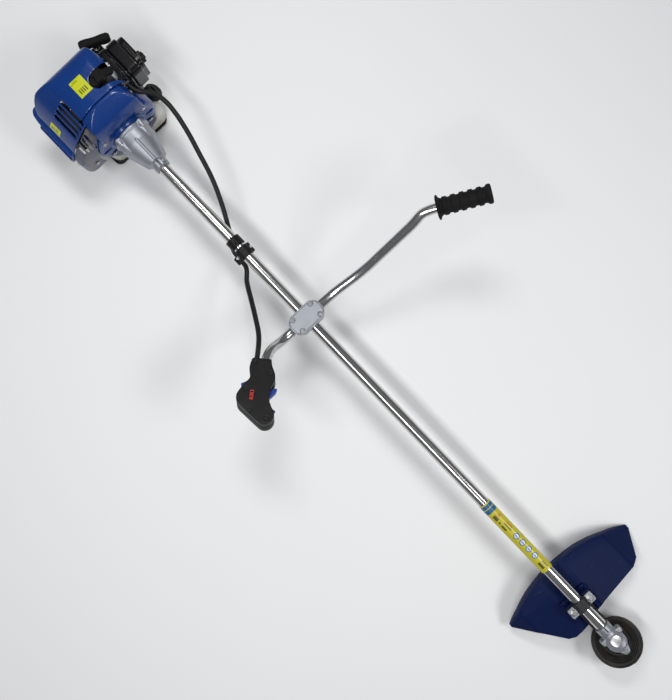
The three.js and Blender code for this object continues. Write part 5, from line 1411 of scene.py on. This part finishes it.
guard_mesh = bmesh.new()
edge_stations = [y for y, _ in front_edge] + [-118, -40, 40, 150]
stations = sorted({*edge_stations, *[-150 + step * 6 for step in range(60)]})
rings = [guard_ring(guard_mesh, y) for y in stations if y <= 210]
for (_, before), (_, after) in zip(rings, rings[1:]):
    bmesh.ops.bridge_loops(guard_mesh, edges=before + after)
for verts, _ in (rings[0], rings[-1]):
    guard_mesh.faces.new(verts)
bmesh.ops.recalc_face_normals(guard_mesh, faces=guard_mesh.faces)
marks = [slab([(1588, 92), (1596, 97), (1588, 102), (1588, 99), (1574, 99), (1574, 95), (1588, 95)], 0, 1)]
marks += [block(1566 - row * 7, 1569 - row * 7, -98, -72, 0, 1) for row in range(3)]
for mark in marks:
    for vert in mark.verts:
        vert.co.z += guard_top(vert.co.y) - 0.4
piece("guard_moulding", joined(guard_mesh, *marks), "machine", guard_blue, ["guard"],
      smooth=32)

# ------------------------------------------------------------------------------- guard bracket
# A black nylon foot bolted through the guard, a saddle under the shaft tube with a rail towards
# the gearcase, and a pressed steel clamp over the tube that two long bolts draw down.

bolt_x, bolt_side = 1567, 25
foot = combined(
    "UNION", plate(1545, 1613, -40, 40, 84.3, 90.3, 8),
    plate(1552, 1582, -34, 34, 89, 111.5, 4),
    *[plate(1549, 1610, y - 2, y + 2, 89, 94.5, 1) for y in (-36, -26, 26, 36)])
foot = combined("DIFFERENCE", foot, shaft_rod(1530, 1660, tube_bore),
                *[rod((bolt_x, y, 80), (bolt_x, y, 120), 3.2) for y in (-bolt_side, bolt_side)])
piece("guard_foot", moulded(foot, 1.2, 3, 0.4), "machine", guard_blue, ["guard_bracket"],
      smooth=50)
rail = combined("DIFFERENCE", plate(1582.5, 1633, -19, 19, 90.5, 106, 5),
                shaft_rod(1570, 1660, tube_bore),
                *[plate(1596 + step * 14, 1602 + step * 14, -19.5, 19.5, 102, 110, 1) for step in range(2)])
piece("guard_rail", moulded(rail, 1.0, 3, 0.4), "machine", handle_black, smooth=50)

strap_outline = [(-35, 112.3), (-35, 119), (-18, 120.6), (-11, 129.4), (11, 129.4), (18, 120.6), (35, 119),
                 (35, 112.3)]
strap = combined("DIFFERENCE", slab([(y, z, 2.5) for y, z in strap_outline], 1554, 1580, turn=ALONG_X),
                 shaft_rod(1540, 1600, tube_bore),
                 *[rod((bolt_x, y, 110), (bolt_x, y, 125), 3.2) for y in (-bolt_side, bolt_side)])
piece("guard_strap", moulded(strap, 0.9, 3, 0.5), "machine", dark_steel, ["guard_clamp"],
      smooth=50)
lug_plates = [plate(1555, 1579, side * 16.5, side * 34.6, 118.6, 121.2, 3)
              for side in (-1, 1)]
piece("strap_lug_plates", joined(*lug_plates), "machine", cast_aluminium, smooth=30)
for side, bolt_name, stands in ((-bolt_side, "strap_bolt_right", "guard_bolt_right"),
                                (bolt_side, "strap_bolt_left", "guard_bolt_left")):
    head = turned([(0, 128), (5, 128), (7.2, 126.8), (7.4, 122), (0, 122)], (0, 0, 0), (0, 0, 1), 6)
    washer = turned([(3, 121), (8.6, 121), (9, 121.3), (9, 122.1), (3, 122.1), (3, 121)], (0, 0, 0),
                    (0, 0, 1), 40)
    shank = rod((0, 0, 84.6), (0, 0, 122), 2.9, sides=24)
    bolt = joined(head, washer, shank)
    bmesh.ops.translate(bolt, verts=bolt.verts, vec=(bolt_x, side, 0))
    piece(bolt_name, bolt, "machine", bright_steel, [stands], smooth=25)

# ------------------------------------------------------------------------------- gearcase
# A die-cast aluminium angle gearbox clamped on the end of the tube, with a bright pressed cap
# over its bearing, two clamp lugs and a webbed nose that carries the grease screw.

gear_middle = Vector((1685, 0, 112))
down = Vector((0.46947, 0, -0.88295)).normalized()


def on_spindle(profile, steps=72):
    """A lathe shape round the line head's spindle."""
    return turned(profile, gear_middle, down, steps)


gear_neck = on_shaft([(14.3, 1634), (17.4, 1634), (18, 1635), (18, 1650), (17.4, 1652), (17.4, 1656),
                      (18, 1658), (18, 1681), (14.3, 1681), (14.3, 1634)], 0, 72)
gear_body = on_spindle([(0, -27), (13.5, -27), (16, -25), (21, -22), (22, -8), (22, 0), (23.4, 8),
                        (23.4, 12), (24, 14), (24, 30), (22, 32), (17, 33), (0, 33)])
gear_nose = slab([(1685, -21), (1719, -4.5), (1719, 8.5), (1685, 21)], 100.5, 122.5, 4)
gear_web = slab([(1690, -2), (1716, -1), (1716, 5), (1690, 6)], 121, 124, 1)
gear_lugs = [plate(1658, 1672, y - 7, y + 7, 104.5, 123.5, 6.5) for y in (-22, 22)]
lug_web = plate(1658, 1672, -22, 22, 106, 121, 1)
gear_case = combined("UNION", gear_body, gear_neck, gear_nose, gear_web, *gear_lugs, lug_web)
gear_case = combined("DIFFERENCE", gear_case, shaft_rod(1620, 1668, tube_bore, 64),
                     rod(gear_middle, gear_middle + down * 40, 16),
                     block(1630, 1650, -1, 1, 120, 134))
gear_case = moulded(gear_case, 1.05, 3, 0.4)
piece("gearcase_casting", gear_case, "machine", cast_aluminium, ["gearcase"], smooth=50)
bearing_cap = on_spindle([(0, -30.7), (9.5, -30.6), (12, -30), (13.2, -28.6), (13.4, -26.5), (12, -26.5),
                          (0, -26.5)], 64)
cap_dimple = on_spindle([(0, -31), (3.6, -31), (4.4, -30.4), (4.4, -29), (0, -29)], 6)
gear_screws = [socket_screw((1665, y, 123.3), (0, 0, 1), 3.4, 3.2) for y in (-22, 22)]
grease_screw = socket_screw((1709, 2, 122.4), (0, 0, 1), 3.4, 3)
piece("gearcase_fittings", joined(bearing_cap, cap_dimple, *gear_screws, grease_screw), "machine",
      bright_steel, smooth=30)

# ------------------------------------------------------------------------------- line head
# A round black nylon spool case with concentric ridges and finger ribs, two steel eyelets where
# the cutting line leaves it, and the bump knob below that is tapped on the ground to feed line.

worn_nylon = Paint("worn line head nylon", Specular_IOR_Level=0.4)
ground_wear = worn_nylon.noise(50, 6, 0.7).rise(0.42, 0.72)
soil = worn_nylon.noise(18, 5, 0.6).rise(0.45, 0.7)
nylon_color = worn_nylon.mix(soil * 0.55, seen(20, 19, 17), seen(58, 50, 36))
worn_nylon.shade(Base_Color=worn_nylon.mix(ground_wear * 0.35, nylon_color, seen(72, 68, 60)),
                 Roughness=0.46 + ground_wear * 0.25)
worn_nylon.relief(ground_wear + worn_nylon.noise(700, 3) * 0.3, 0.0004, 0.4)

head_top, head_bottom = 41.3, 95
head_profile = [(26.2, head_top), (30, head_top), (31, head_top + 1.4), (33.5, head_top + 3)]
for ridge in range(4):
    middle = 36 + ridge * 4
    rise = head_top + 3.2 + ridge * 1.1
    head_profile += [(middle - 1.4, rise + 1.6), (middle - 0.5, rise), (middle + 0.7, rise),
                     (middle + 1.6, rise + 1.8)]
head_profile += [(52, head_top + 8.6), (55.6, head_top + 12), (57.6, head_top + 16)]
for band_step in range(5):
    start = head_top + 17 + band_step * 4.6
    head_profile += [(57.9, start), (57.9, start + 2.4), (56.4, start + 3.1), (56.4, start + 3.9)]
head_profile += [(57.6, head_bottom - 12), (55, head_bottom - 6), (52, head_bottom - 3),
                 (46, head_bottom - 0.6), (44, head_bottom - 0.2), (28.6, head_bottom - 0.2),
                 (28.6, head_bottom - 26), (26.2, head_bottom - 30), (26.2, head_top)]
head_parts = [on_spindle(head_profile, 96)]
for rib_turn in range(16):
    rib = block(-1.6, 1.6, 51, 57.6, head_top + 17.5, head_bottom - 11)
    bmesh.ops.translate(rib, verts=rib.verts, vec=(0, 0.2, 0))
    rib.transform(aimed(gear_middle, down) @ Matrix.Rotation(tau * (rib_turn + 0.5) / 16, 4, "Z"))
    head_parts.append(rib)
piece("line_head_case", joined(*head_parts), "line_head", worn_nylon, ["spool_case"],
      smooth=35)
line_side = Vector((0.88295, 0, 0.46947))
eyelets = []
for side in (-1, 1):
    eye_middle = gear_middle + down * ((head_top + head_bottom) / 2)
    eyelets.append(turned([(2.4, 54), (5.4, 54), (5.4, 58.2), (4.6, 58.8), (3.2, 58.8), (2.4, 58.2),
                           (2.4, 54)], eye_middle,
                          line_side * side, 36))
piece("line_eyelets", joined(*eyelets), "line_head", bright_steel, smooth=30)

knob_low = head_bottom + 15
tap_knob = on_spindle([(0, 76), (27.4, 76), (27.9, 77), (27.9, head_bottom + 3), (27, head_bottom + 6),
                       (22, head_bottom + 11.4), (20.4, head_bottom + 12.6), (12, head_bottom + 14.4),
                       (10, knob_low - 0.2), (0, knob_low - 0.2)])
piece("bump_cap", tap_knob, "bump", worn_nylon, ["bump_knob"], smooth=40)
